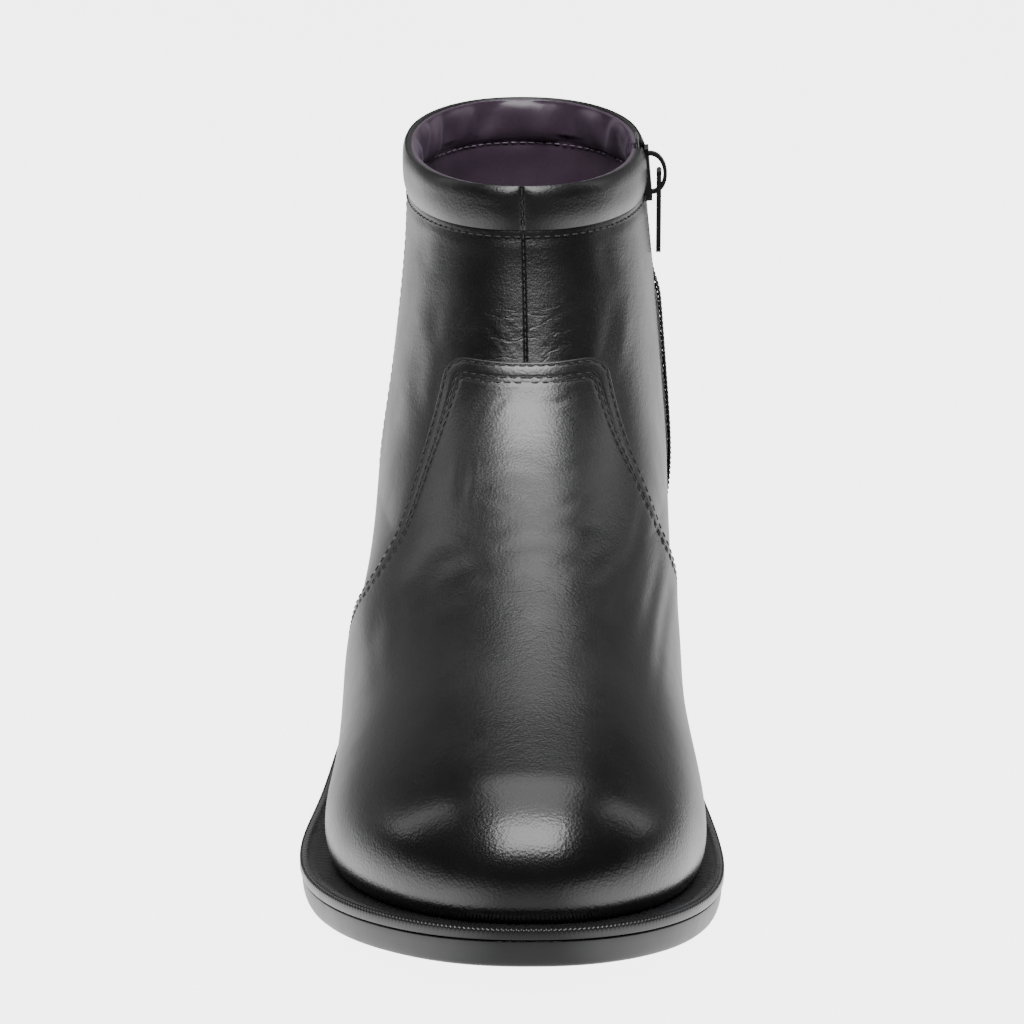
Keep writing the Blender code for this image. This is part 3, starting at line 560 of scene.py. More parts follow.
# Dark metal with gloss and colour worn in patches.
def metal(name, colour, roughness):
    made, tree, shader = newMaterial(name, {"Metallic": 1.0})
    place = millimetres(tree)
    worn = noise(tree, place, 1.6, 4.0, 0.6)
    tree.links.new(mixColours(tree, worn, [0.8 * c for c in colour], [1.3 * c for c in colour]),
                   shader.inputs["Base Color"])
    tree.links.new(ramp(tree, worn, roughness - 0.05, roughness + 0.08), shader.inputs["Roughness"])
    bumps(tree, shader, [(worn, 0.02)])
    return made


# Cloth: fine fuzz times soft clouds between two colours, and a bump of the fuzz.
def cloth(name, dark, light, thread, look, depth=0.08):
    made, tree, shader = newMaterial(name, look)
    place = millimetres(tree)
    fuzz = noise(tree, place, thread, 3.0, 0.7)
    cloudy = noise(tree, place, 7.0, 3.0)
    both = maths(tree, "MULTIPLY", fuzz, maths(tree, "ADD", cloudy, 0.5))
    tree.links.new(mixColours(tree, both, dark, light), shader.inputs["Base Color"])
    bumps(tree, shader, [(fuzz, depth)])
    return made


shaftLeather = leather("shaftLeather", leatherLook)
toeLeather = leather("toeLeather", {
    **leatherLook, "roughness": (0.32, 0.42), "polished": 0.12, "coat": 0.1, "coatRoughness": 0.26,
    "wrinkleDepth": 0.016, "creaseDepth": 0.055, "streakDepth": 0.035,
    "lineSize": 5.0, "lineHeights": (58.0, 66.0, 76.0, 100.0), "lineDepth": 0.03,
    "gloss": 0.85,
})
liningSatin = cloth("liningSatin", (0.040, 0.024, 0.040), (0.095, 0.066, 0.098), 0.35, {
    "Roughness": 0.36, "Sheen Weight": 0.15, "Sheen Roughness": 0.4, "Sheen Tint": (0.75, 0.65, 0.85, 1),
}, 0.03)
tapeCloth = cloth("tapeCloth", (0.006, 0.006, 0.007), (0.022, 0.022, 0.024), 0.3, {
    "Roughness": 0.9, "Sheen Weight": 0.3,
}, 0.15)
thread = cloth("thread", (0.010, 0.010, 0.011), (0.030, 0.030, 0.032), 0.25, {"Roughness": 0.6}, 0.05)
liningThread = cloth("liningThread", (0.10, 0.075, 0.11), (0.2, 0.15, 0.21), 0.25, {"Roughness": 0.5}, 0.05)
# The vamp's cut edge: a dark edge finish lightened to grey, which paints the highlight that the edge
# catches.
paintedHighlightEdge = softRubber("paintedHighlightEdge", (0.045, 0.045, 0.047), 0.5, 0.03)
weltLeather = softRubber("weltLeather", (0.014, 0.014, 0.015), 0.28, 0.01)
soleRubber = softRubber("soleRubber", (0.02, 0.02, 0.021), 0.36, 0.01)
treadRubber = softRubber("treadRubber", (0.016, 0.016, 0.017), 0.6, 0.05)
zipMetal = metal("zipMetal", (0.035, 0.035, 0.038), 0.27)
coilPlastic = softRubber("coilPlastic", (0.012, 0.012, 0.013), 0.4, 0.01)
insoleCloth = cloth("insoleCloth", (0.045, 0.032, 0.046), (0.075, 0.055, 0.078), 0.4,
                    {"Roughness": 0.6}, 0.05)
print("materials ready")


vampCut = {
    "top": 118.0, "corner": 6.0, "lift": 0.3, "leather": 1.2,
    "rows": 210, "columns": 112, "middle": 0.30, "stitchRows": (0.95, 3.9, 5.1),
    "creases": 0.55, "edgeDrop": 0.35, "rowDepth": 0.16,
}


# Where rays from a point on the front line leave the vamp: bisection on the distance inside its edge.
def vampBoundary(inside, count):
    angle = np.linspace(-0.5, 0.5, count) * math.pi
    reach = np.full(count, 2.4)
    side = np.cos(angle)
    rise = np.sin(angle)
    result = []
    for sign in (1, -1):
        low, high = np.zeros(count), reach.copy()
        limit = np.where(rise < 0, -1 - vampCut["middle"], 1 - vampCut["middle"])
        high = np.minimum(high, limit / np.where(np.abs(rise) < 1e-9, np.sign(limit) * 1e-9, rise))
        high = np.minimum(high, 0.75 / np.maximum(side, 1e-3))
        for _ in range(34):
            test = (low + high) / 2
            there = insideVamp(sign * np.maximum(test * side, 1e-6), vampCut["middle"] + test * rise)
            low, high = np.where(there > inside, test, low), np.where(there > inside, high, test)
        result.append(np.stack([sign * low * side, vampCut["middle"] + low * rise], axis=1))
    return result


# Rows of one level v from the feather line to the top, each from edge to edge of the cut. The rows are
# even along the front line and close together under the top edge.
def vampGrid():
    rows, columns = vampCut["rows"], vampCut["columns"]
    halves = vampBoundary(0.0, 1600)
    top = (halves[0][-1, 1] + halves[1][-1, 1]) / 2
    dense = np.linspace(-1, top - 0.0004, 900)
    run = lengths(upperPoint(0 * dense, dense))
    level = np.interp(run[-1] * (1 - (1 - np.linspace(0, 1, rows)) ** 1.5), run, dense)
    share = np.linspace(0, 1, columns)
    edges = []
    for half in halves:
        line = half[half[:, 1] > -1 + 1e-6]
        edges.append(np.interp(level, np.maximum.accumulate(line[:, 1]), line[:, 0])[:, None] * share)
    u = np.concatenate([edges[1][:, :0:-1], edges[0]], axis=1)
    return np.stack([u, np.broadcast_to(level[:, None], u.shape)], axis=-1)


# Soft troughs, each with a low ridge on both sides. A crease is a bowed line as seen from the front, from
# (x, height) to (x, height), and it fades towards both ends.
def creaseDepth(points, normals, creases):
    total = np.zeros(points.shape[:-1])
    facing = normals[..., 1] < 0.1
    for x0, z0, x1, z1, bow, width, depth in creases:
        size = math.hypot(x1 - x0, z1 - z0)
        t = np.linspace(0, 1, max(12, int(size / 0.35)))
        arc = bow * 4 * t * (1 - t) / size
        lineX = x0 + (x1 - x0) * t - (z1 - z0) * arc
        lineZ = z0 + (z1 - z0) * t + (x1 - x0) * arc
        reach = 4.5 * width
        near = facing & (points[..., 0] > lineX.min() - reach) & (points[..., 0] < lineX.max() + reach)
        near &= (points[..., 2] > lineZ.min() - reach) & (points[..., 2] < lineZ.max() + reach)
        chosen = points[near]
        far = np.hypot(chosen[:, None, 0] - lineX, chosen[:, None, 2] - lineZ)
        place = far.argmin(axis=1)
        far = far[np.arange(len(place)), place] / width
        fade = np.sin(math.pi * (0.03 + 0.94 * t[place])) ** 0.8
        total[near] -= depth * fade * (np.exp(-far ** 2) - 0.5 * np.exp(-(far - 1.9) ** 2))
    return total


vampCreases = [  # x, height, x, height, bow, width, depth
    (-19.0, 69.5, -10.0, 74.5, 0.8, 1.3, 0.40), (-14.0, 72.0, 4.0, 75.0, -1.2, 1.4, 0.30),
    (-6.0, 77.5, 14.0, 78.5, 1.5, 1.2, 0.26), (2.0, 73.5, 22.0, 74.5, 1.0, 1.5, 0.30),
    (-16.0, 79.5, -2.0, 82.0, -1.0, 1.2, 0.24), (6.0, 81.5, 21.0, 80.0, 1.2, 1.1, 0.26),
    (-14.0, 86.5, 3.0, 85.0, 1.3, 1.2, 0.20), (4.0, 86.0, 20.0, 88.0, -1.0, 1.2, 0.22),
    (-16.5, 84.0, -14.5, 96.0, -1.0, 1.4, 0.30), (-9.0, 92.0, 6.0, 91.0, 1.0, 1.4, 0.15),
    (8.0, 93.0, 21.0, 95.5, -1.0, 1.3, 0.18), (-8.0, 105.0, 1.0, 112.0, 0.8, 1.0, 0.16),
    (4.0, 108.0, 14.0, 109.0, -0.8, 1.0, 0.16), (-13.0, 101.0, -6.0, 109.0, 1.2, 1.0, 0.14),
    (-4.0, 70.0, 13.0, 71.0, 1.5, 1.8, 0.25), (15.0, 70.0, 27.0, 73.0, -1.2, 1.6, 0.28),
    (-28.0, 66.0, -17.0, 78.0, 1.8, 1.8, 0.30), (24.0, 68.0, 32.0, 82.0, -2.0, 1.8, 0.30),
    (-33.0, 56.0, -24.0, 70.0, 2.2, 2.2, 0.35), (30.0, 58.0, 37.0, 72.0, -2.2, 2.0, 0.35),
    (34.0, 50.0, 39.5, 66.0, -1.8, 1.8, 0.30), (-38.0, 48.0, -33.0, 62.0, 1.8, 1.8, 0.28),
    (-22.0, 60.0, -12.0, 64.0, 1.2, 2.2, 0.22), (12.0, 61.0, 24.0, 63.0, -1.0, 2.2, 0.22),
]
shaftCreases = [
    (4.0, 142.0, 15.0, 142.4, 0.3, 0.45, 0.10), (3.0, 128.5, 9.0, 131.0, 0.4, 0.5, 0.14),
    (6.0, 127.0, 17.5, 132.5, 0.8, 0.55, 0.18), (4.5, 125.5, 18.5, 129.0, -0.6, 0.5, 0.15),
    (3.5, 122.5, 10.0, 120.0, 0.5, 0.5, 0.15), (6.0, 122.0, 18.0, 119.8, 0.8, 0.55, 0.16),
    (10.0, 134.0, 16.0, 136.5, 0.3, 0.5, 0.10), (-11.0, 127.5, -5.0, 122.5, 0.5, 0.5, 0.16),
    (-8.5, 126.5, -3.0, 121.0, -0.4, 0.5, 0.16), (-6.5, 129.0, -0.5, 124.0, 0.5, 0.5, 0.15),
    (-12.0, 123.5, -6.0, 120.0, 0.4, 0.5, 0.14), (-4.5, 124.5, 0.5, 119.8, 0.4, 0.45, 0.14),
    (-14.5, 130.0, -9.5, 126.0, 0.4, 0.5, 0.10), (-24.0, 118.0, -20.0, 134.0, 1.5, 2.2, 0.35),
    (21.0, 112.0, 25.0, 130.0, -1.5, 2.2, 0.35), (-29.0, 100.0, -25.5, 118.0, 1.5, 2.4, 0.35),
    (-27.5, 136.0, -24.5, 147.0, 1.0, 1.8, 0.25), (26.0, 136.0, 23.0, 147.0, 1.0, 1.8, 0.2),
]

vampNet = vampGrid()
vampPoints = upperPoint(vampNet[..., 0], vampNet[..., 1])
vampNormals = upperNormal(vampNet[..., 0], vampNet[..., 1])
fromCut = insideVamp(vampNet[..., 0], vampNet[..., 1])
nearEdge = 1 - smoothStep(fromCut, 0.0, 0.7)
rowPinch = sum(np.exp(-((fromCut - inside) / 0.55) ** 2) for inside in vampCut["stitchRows"])
top = vampCut["lift"] + vampCut["leather"]
top = top + vampCut["creases"] * creaseDepth(vampPoints, vampNormals, vampCreases)
top = top - vampCut["edgeDrop"] * nearEdge ** 2 - vampCut["rowDepth"] * rowPinch
# The vamp's cut-edge strips take the lighter grey of the painted edge highlight.
vamp = shell("vampLeather", vampPoints + vampNormals * top[..., None],
             vampPoints + vampNormals * vampCut["lift"],
             [toeLeather, paintedHighlightEdge], closed=False, edgeMaterial=1)
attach(vamp, "boot")
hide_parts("vamp")
print("vamp", vampNet.shape)


shaft = {
    "front": 112, "back": 44, "outer": 120, "rows": 150, "frontPower": 1.45, "thick": 1.1,
    "slotWidth": 8.6, "zipBottom": 43.0, "seamWidth": 0.4, "seamDepth": 0.4,
    "panelStep": 0.55, "panelFade": 9.0, "panelEnds": 118.0, "backSeamDepth": 0.5, "bandSeamDepth": 0.35,
}
sideSeam = np.array([(30.0, 84.0), (100.0, 74.0), (172.0, 68.0)])  # height, along, on the outer side
band = {"bulge": 1.15, "padding": 1.6, "rows": 26, "rimRows": 9}


# Columns of u for each ring: close together at the front seam, even elsewhere, and on each side of the
# zip's slot. Column "front" and the next one are the slot's two edges.
def shaftColumns(shares):
    rows = []
    fine = np.linspace(0, 1, 1200)
    for share in shares:
        inner = upperPoint(fine, np.full(fine.shape, share))
        run = lengths(inner)
        middle = run[np.argmin(np.abs(alongOf(inner) - spline(zipLine, inner[:, 2])))]
        frontEdge, backEdge = middle - shaft["slotWidth"] / 2, middle + shaft["slotWidth"] / 2
        frontRun = frontEdge * np.linspace(0, 1, shaft["front"] + 1) ** shaft["frontPower"]
        backRun = np.linspace(backEdge, run[-1], shaft["back"] + 1)
        outer = upperPoint(-fine, np.full(fine.shape, share))
        outerRun = lengths(outer)
        wanted = outerRun[-1] * np.linspace(0, 1, shaft["outer"] + 1) ** shaft["frontPower"]
        us = np.concatenate([
            np.interp(np.concatenate([frontRun, backRun]), run, fine),
            -np.interp(wanted[-2:0:-1], outerRun, fine),
        ])
        rows.append(us)
    return np.array(rows)


# The upper's (u, v), points and normals at these levels and the shaft's columns.
def gridAt(shares):
    us = shaftColumns(shares)
    vs = np.broadcast_to(np.asarray(shares)[:, None], us.shape)
    return us, vs, upperPoint(us, vs), upperNormal(us, vs)


# Which cells stay: all but the slot's column above the foot of the zip.
def slotKept(points):
    keep = np.ones((len(points) - 1, points.shape[1]), bool)
    keep[points[:-1, shaft["front"], 2] > shaft["zipBottom"], shaft["front"]] = False
    return keep


# The calls that every piece needs.
def ride(piece, slot, *nodes, body="boot"):
    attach(piece, body)
    if nodes:
        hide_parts(*nodes)
    return piece


seamLine = shoe["bandStart"]
wallLevels = np.linspace(-1, 0, 9)[:-1]
riseLevels = seamLine * np.linspace(0, 1, shaft["rows"])
shaftLevels = np.concatenate([wallLevels, riseLevels, [seamLine + 0.012]])
shaftU, shaftV, shaftPoints, shaftNormals = gridAt(shaftLevels)
fromSeam = np.abs(shaftPoints[..., 0] - shaftPoints[:, :1, 0])
ahead = np.abs(shaftU) < 0.2
sink = -shaft["seamDepth"] * np.exp(-(fromSeam / shaft["seamWidth"]) ** 2) * ahead
sink = sink + creaseDepth(shaftPoints, shaftNormals, shaftCreases)
# The back panel starts a step lower behind the outer side seam and comes up to the front panel's level.
behindSeam = spline(sideSeam, shaftPoints[..., 2]) - alongOf(shaftPoints)
outerSide = (shaftU < 0) & (alongOf(shaftPoints) < shaft["panelEnds"])
step = smoothStep(behindSeam, -0.5, 0.5) * np.exp(-np.clip(behindSeam, 0, None) / shaft["panelFade"])
sink = sink - np.where(outerSide, shaft["panelStep"] * step, 0)
sink = sink - shaft["backSeamDepth"] * np.exp(-((np.abs(shaftU) - 1) * 150) ** 2)
sink = sink - shaft["bandSeamDepth"] * np.exp(-((shaftV - seamLine + 0.012) * 90) ** 2)
sink[-2:] = np.minimum(sink[-2:], -0.35)
sink[-1] = -0.9
shaftPiece = shell("shaftLeather", shaftPoints + shaftNormals * sink[..., None],
                   shaftPoints - shaftNormals * shaft["thick"], [shaftLeather], slotKept(shaftPoints))
ride(shaftPiece, "upper_leather", "upper")

# The band's outer face swells from its seam to the rim, rolls over it and turns down inside.
share = (1 - np.cos(np.linspace(0, math.pi, band["rows"]))) / 2
bandU, _, bandPoints, bandNormals = gridAt(seamLine + (1 - seamLine) * share)
full = (1 - np.abs(2 * share - 1) ** 3)[:, None, None]
fromFront = np.abs(bandPoints[..., 0] - bandPoints[:, :1, 0]) + 9 * (np.abs(bandU) > 0.2)
pinch = 1 - 0.5 * np.exp(-(fromFront / 2.2) ** 2)[..., None]
turnRound = lengths(bandPoints[-1])
uneven = 1 + 0.10 * np.sin(turnRound / 9.0) + 0.07 * np.sin(turnRound / 4.1 + 2.0)
face = bandPoints + bandNormals * (band["bulge"] * full * pinch * uneven[None, :, None] - 0.15)
face = face - bandNormals * (0.4 * np.exp(-(fromFront / 0.5) ** 2))[..., None]
rim, rimNormal = bandPoints[-1], bandNormals[-1]
turn = np.linspace(0, math.pi, band["rimRows"])[1:, None, None]
roll = rim - rimNormal * (shoe["wall"] / 2 + 0.15) + rimNormal * np.cos(turn) * shoe["wall"] / 2
roll = roll + np.array([0, 0, 1]) * np.sin(turn) * 0.9 - np.array([0, 0, 0.9])
lipRows = np.array([1.0, 2.2, 3.4])[:, None, None]
lip = roll[-1] - np.array([0, 0, 1]) * lipRows - rimNormal * lipRows * 0.12
outerFace = np.concatenate([face, roll, lip])
underRim = np.repeat((rim - rimNormal * 0.9)[None], len(turn), 0) - np.array([0, 0, 1.2])
innerFace = np.concatenate([bandPoints - bandNormals * 0.9, underRim, lip + rimNormal * 0.5])
innerFace[band["rows"] - 1] -= np.array([0, 0, 0.6])
bandKeep = np.ones((len(outerFace) - 1, outerFace.shape[1]), bool)
bandKeep[:, shaft["front"]] = False
bandPiece = shell("collarBand", outerFace, innerFace, [shaftLeather], bandKeep)
ride(bandPiece, "upper_leather")

liningFolds = [  # length round the collar, phase, lean, depth
    (2.4, 0.3, 2.2, 0.7), (3.7, 1.9, -1.8, 0.8), (1.5, 4.0, 3.0, 0.35), (6.1, 2.5, 1.0, 0.7),
]

# The lining hangs inside the leather, padded behind the band and gathered in soft folds there.
liningRows = np.concatenate([np.linspace(-0.96, 0, 12)[:-1], np.linspace(0, seamLine, 70)[:-1],
                             seamLine + (1 - seamLine) * np.linspace(0, 0.97, 30)])
_, liningV, liningPoints, liningNormals = gridAt(liningRows)
near = np.clip((liningV - seamLine) / (1 - seamLine), 0, 1)
pad = band["padding"] * (1 - np.abs(2 * near - 1) ** 3)
aroundInside = lengths(liningPoints[-1])
folds = sum(size * np.sin(aroundInside / wide + phase + lean * near)
            for wide, phase, lean, size in liningFolds)
gather = np.where(liningV > seamLine, 1, np.exp(-np.clip(seamLine - liningV, 0, None) / 0.02))
pinched = np.exp(-((liningV - seamLine + 0.004) / 0.006) ** 2)
broad = 0.6 * np.sin(aroundInside / 13.0 + 14 * (liningV - seamLine))
broad = broad * smoothStep(seamLine - liningV, 0.01, 0.08)
gathered = 0.75 * folds * near ** 0.4 * (1 - near ** 4) + 0.25 * folds * gather
pad = pad + gathered * (liningV > 0.7) + broad * (liningV > 0.5)
least = np.where(near > 0.2, shoe["wall"] + 0.85, shaft["thick"] + 0.35)
liningDepth = np.maximum(shoe["wall"] + pad - 0.5 * pinched, least)[..., None]
liningPiece = shell("lining", liningPoints - liningNormals * (shaft["thick"] + 0.1),
                    liningPoints - liningNormals * liningDepth, [liningSatin], slotKept(liningPoints))
ride(liningPiece, "upper_leather")
print("shaft, collar band and lining")


sole = {
    "stations": 420, "heelStations": 200, "toeBlend": (268.0, 297.0), "heelBlend": (4.0, 30.0),
    "breastBlend": 45.0, "heelTaper": 1.2, "ridge": 1.25, "ridgeDepth": 0.36, "ridgePoints": 6,
}


# How far the sole stands out from the upper's widest line. Both sides agree at the toe and the heel.
def overhang(u, along):
    own = bySide(ledge, u, along) - bySide(inset, u, along)
    other = bySide(ledge, -u, along) - bySide(inset, -u, along)
    ends = smoothStep(along, *sole["toeBlend"]) + 1 - smoothStep(along, *sole["heelBlend"])
    return own + (other - own) * ends / 2


# Stations along the foot, close together at both round ends. Each outline is read at them on both
# sides, so that a level is one closed ring: forward on the inner side, back on the outer.
def outlineRing(distance):
    us = np.linspace(1e-6, 1, 3000) ** 1.5
    sides = []
    for sign in (1, -1):
        u = us * sign
        points = upperPoint(u, 0 * u)
        over = overhang(u, alongOf(points))
        sides.append(points + planNormal(u) * (over + distance(alongOf(points)))[:, None])
    front = max(alongOf(side).max() for side in sides) - 0.004
    back = min(alongOf(side).min() for side in sides) + 0.02
    return sides, front, back


# One closed level of the sole as rungs from its inner to its outer side, at a distance outside the upper's
# line and at heights given along the foot.
def soleLevel(distance, height, stations, last=None):
    sides, front, back = outlineRing(distance)
    if last is None:
        along = back + (front - back) * (1 - np.cos(math.pi * stations)) / 2
    else:
        along = back + (last - back) * (1 - np.cos(math.pi / 2 * stations))
    ring = []
    for side in sides:
        x = np.interp(along, np.maximum.accumulate(alongOf(side)[::-1]), side[::-1, 0])
        ring.append(np.stack([x, shoe["heelTreadCentre"] - along, height(along)], axis=1))
    return np.stack(ring, axis=1)


# A plate through levels of rungs, top first: its top and bottom are bands of rungs, with soft edges
# from the levels themselves.
def plate(name, levels, material):
    levels = np.stack(levels)
    count, length = levels.shape[:2]
    index = np.arange(levels.size // 3).reshape(count, length, 2)
    l, r = index[..., 0], index[..., 1]
    faces = [
        np.stack([l[0, :-1], r[0, :-1], r[0, 1:], l[0, 1:]], axis=-1),
        np.stack([l[-1, :-1], l[-1, 1:], r[-1, 1:], r[-1, :-1]], axis=-1),
    ]
    for side, flip in ((l, False), (r, True)):
        quads = [side[:-1, :-1], side[:-1, 1:], side[1:, 1:], side[1:, :-1]]
        faces.append(np.stack(quads[::-1] if flip else quads, axis=-1).reshape(-1, 4))
    for end, flip in ((0, False), (-1, True)):
        quads = [l[:-1, end], r[:-1, end], r[1:, end], l[1:, end]]
        faces.append(np.stack(quads if flip else quads[::-1], axis=-1).reshape(-1, 4))
    faces = np.concatenate(faces)[:, ::-1]
    return makeMesh(name, levels, [faces], [material])[0]


stations = np.linspace(0, 1, sole["stations"])


# Share of the way from the heel's breast to the forefoot.
def forward(along):
    return smoothStep(along, shoe["heelLength"], shoe["heelLength"] + sole["breastBlend"])


# A level of the outsole at a share of its thickness, its distance blended from heel to forefoot.
def outsoleLevel(share, atHeel, atForefoot):
    thick = shoe["outsoleThickness"]
    return soleLevel(lambda a: atHeel + (atForefoot - atHeel) * forward(a),
                     lambda a: treadHeight(a) + share * thick, stations)


outsoleSide = [  # share of the thickness, distance from the welt's edge at the heel, at the forefoot
    (1.0, -1.6, -1.6), (1.0, -0.55, -0.55), (0.985, -0.42, -0.42), (0.95, -0.38, -0.38), (0.7, -0.46, -0.55),
    (0.45, -0.55, -0.75), (0.3, -0.58, -1.0), (0.18, -0.6, -1.3), (0.09, -0.62, -1.7), (0.03, -0.68, -2.2),
    (0.0, -0.9, -2.8), (0.0, -2.2, -4.2),
]
outsole = plate("outsoleRubber", [outsoleLevel(*row) for row in outsoleSide], soleRubber)
ride(outsole, "rubber", "outsole")

heelStations = np.linspace(0, 1, sole["heelStations"])
under = shoe["topLift"] + shoe["gap"]
stackLevels = []
for share, at in ((1.0, -1.6), (1.0, -0.8), (0.97, -0.7), (0.5, -1.15), (0.03, -1.6), (0.0, -1.75),
                  (0.0, -2.6)):
    stackLevels.append(soleLevel(
        lambda a, at=at: at + 0 * a,
        lambda a, share=share: under + (treadHeight(a) - shoe["gap"] - under) * share,
        heelStations, shoe["heelLength"] - sole["heelTaper"] * (1 - share),
    ))
stack = plate("heelStack", stackLevels, soleRubber)
ride(stack, "rubber", "heel_stack")
liftLevels = []
for height, at, last in ((6.0, -2.6, -1.3), (6.0, -1.75, -1.3), (5.8, -1.7, -1.3), (1.2, -1.95, -1.6),
                         (0.4, -2.2, -1.8), (0.0, -2.9, -2.5), (0.0, -4.0, -3.5)):
    liftLevels.append(soleLevel(lambda a, at=at: at + 0 * a, lambda a, height=height: height + 0 * a,
                                heelStations, shoe["heelLength"] + last))
lift = plate("topLift", liftLevels, treadRubber)
ride(lift, "rubber", "top_lift")

# The welt is a strip round the upper's foot: its top carries fine ridges across it, and its rim a bead.
ring = np.concatenate([np.linspace(1e-9, 1, 3001)[:-1], np.linspace(-1, 0, 3001)[:-1]])
edgeLine = upperPoint(ring, 0 * ring)
outwards = planNormal(ring)
over = overhang(ring, alongOf(edgeLine))
rimLine = edgeLine + outwards * over[:, None]
closedRim = np.concatenate([rimLine, rimLine[:1]])
closedOut = np.concatenate([outwards, outwards[:1]])
run = lengths(closedRim * (1, 1, 0))
ridges = int(round(run[-1] / sole["ridge"]))
wanted = np.linspace(0, run[-1], ridges * sole["ridgePoints"] + 1)[:-1]
rimLine = atLengths(closedRim, run, wanted)
outwards = unit(atLengths(closedOut, run, wanted))
wave = (1 + np.cos(2 * math.pi * np.arange(len(wanted)) / sole["ridgePoints"])) / 2
thick = shoe["weltThickness"]
profile = [  # distance from the rim, height above the welt's foot, share of the ridge
    (-16.0, 0.15, 0.0), (-16.0, thick, 0.0), (-9.0, thick, 0.0), (-4.0, thick, 0.35), (-2.2, thick, 0.8),
    (-1.7, thick - 0.35, 0.3), (-1.25, thick - 0.1, 1.0), (-0.6, thick + 0.02, 1.0),
    (-0.12, thick - 0.35, 0.7), (0.0, thick - 0.8, 0.12), (0.0, 0.5, 0.0), (-0.12, 0.12, 0.0),
    (-0.5, 0.0, 0.0),
]
rings = []
for out, high, share in profile:
    points = rimLine + outwards * out
    foot = treadHeight(alongOf(points)) + shoe["outsoleThickness"] + shoe["gap"]
    points[:, 2] = foot + high - sole["ridgeDepth"] * share * wave
    rings.append(points)
rings = np.stack(rings + [rings[0]])
index = np.arange(rings.size // 3).reshape(rings.shape[:2])
index[-1] = index[0]
welt, _ = makeMesh("weltStrip", rings, [ringQuads(index)[:, ::-1]], [weltLeather])
ride(welt, "welt", "welt")
print("sole")


zipper = {
    "tapeDepth": 0.9, "tapeThick": 0.8, "tapeWidth": 7.7, "pitch": 1.45,
    "toothLength": 3.1, "toothWidth": 1.05, "toothHeight": 0.95, "above": 2.5,
    "puff": 1.7, "puffStarts": (1.0, 14.0), "puffEnds": (46.0, 33.0), "teethFrom": 2.2, "teethLean": 0.22,
}
slotFront = np.concatenate([shaftPoints[8:-2, shaft["front"]], bandPoints[:, shaft["front"]]])
slotBack = np.concatenate([shaftPoints[8:-2, shaft["front"] + 1], bandPoints[:, shaft["front"] + 1]])
slotOut = np.concatenate([
    shaftNormals[8:-2, shaft["front"]] + shaftNormals[8:-2, shaft["front"] + 1],
    bandNormals[:, shaft["front"]] + bandNormals[:, shaft["front"] + 1],
])
shown = slotFront[:, 2] > shaft["zipBottom"]
slotFront, slotBack, slotOut = slotFront[shown], slotBack[shown], slotOut[shown]
slotAcross = unit(slotBack - slotFront)
slotOut = unit(slotOut - slotAcross * (slotOut * slotAcross).sum(axis=1)[:, None])
slotMiddle = (slotFront + slotBack) / 2
slotRun = lengths(slotMiddle)


# Middle, across, outward and upward directions at lengths along the zip, straight beyond its ends.
def zipFrames(wanted):
    middle, across, out = (atLengths(line, slotRun, wanted) for line in (slotMiddle, slotAcross, slotOut))
    across, out = unit(across), unit(out)
    up = np.cross(out, across)
    past = wanted - np.clip(wanted, 0, slotRun[-1])
    return middle + up * past[:, None], across, out, up


# The closed zip puffs out of its slot in an arch, except under the slider and pull and at its foot.
def puffAt(wanted, across):
    below, above = (slotRun[-1] - end for end in zipper["puffEnds"])
    free = smoothStep(wanted, *zipper["puffStarts"]) * (1 - smoothStep(wanted, below, above))
    return zipper["puff"] * free * (1 - (2 * across / zipper["tapeWidth"]) ** 2)


# A flat strip along the zip: a rounded rectangle carried along its frames.
def zipStrip(name, wanted, width, low, high, material, wave=0.0):
    middle, across, out, up = zipFrames(wanted)
    turn = np.linspace(0, 2 * math.pi, 25)[:-1]
    x = np.sign(np.cos(turn)) * np.abs(np.cos(turn)) ** 0.35 * width / 2
    z = (low + high) / 2 + np.sign(np.sin(turn)) * np.abs(np.sin(turn)) ** 0.5 * (high - low) / 2
    ripple = wave * np.sin(wanted * 1.9)[:, None] * np.sin(wanted * 0.7)[:, None]
    points = (middle[:, None] + across[:, None] * x[None, :, None]
              + out[:, None] * (z[None, :] + ripple + puffAt(wanted[:, None], x[None, :]))[..., None])
    index = np.arange(points.size // 3).reshape(points.shape[:2])
    half = len(turn) // 2
    k = np.arange(half - 1)
    caps = []
    for row, flip in ((index[0], False), (index[-1], True)):
        quads = np.stack([row[k], row[k + 1], row[-k - 2], row[-k - 1]], axis=-1)
        caps.append(quads[:, ::-1] if flip else quads)
    return makeMesh(name, points, [np.concatenate([ringQuads(index)] + caps)], [material])[0]


tape = zipStrip("zipTape", np.linspace(0.3, slotRun[-1] + zipper["above"], 260), zipper["tapeWidth"],
                -zipper["tapeDepth"] - zipper["tapeThick"], -zipper["tapeDepth"], tapeCloth, 0.05)
ride(tape, "zip_fabric", "zip_tape")


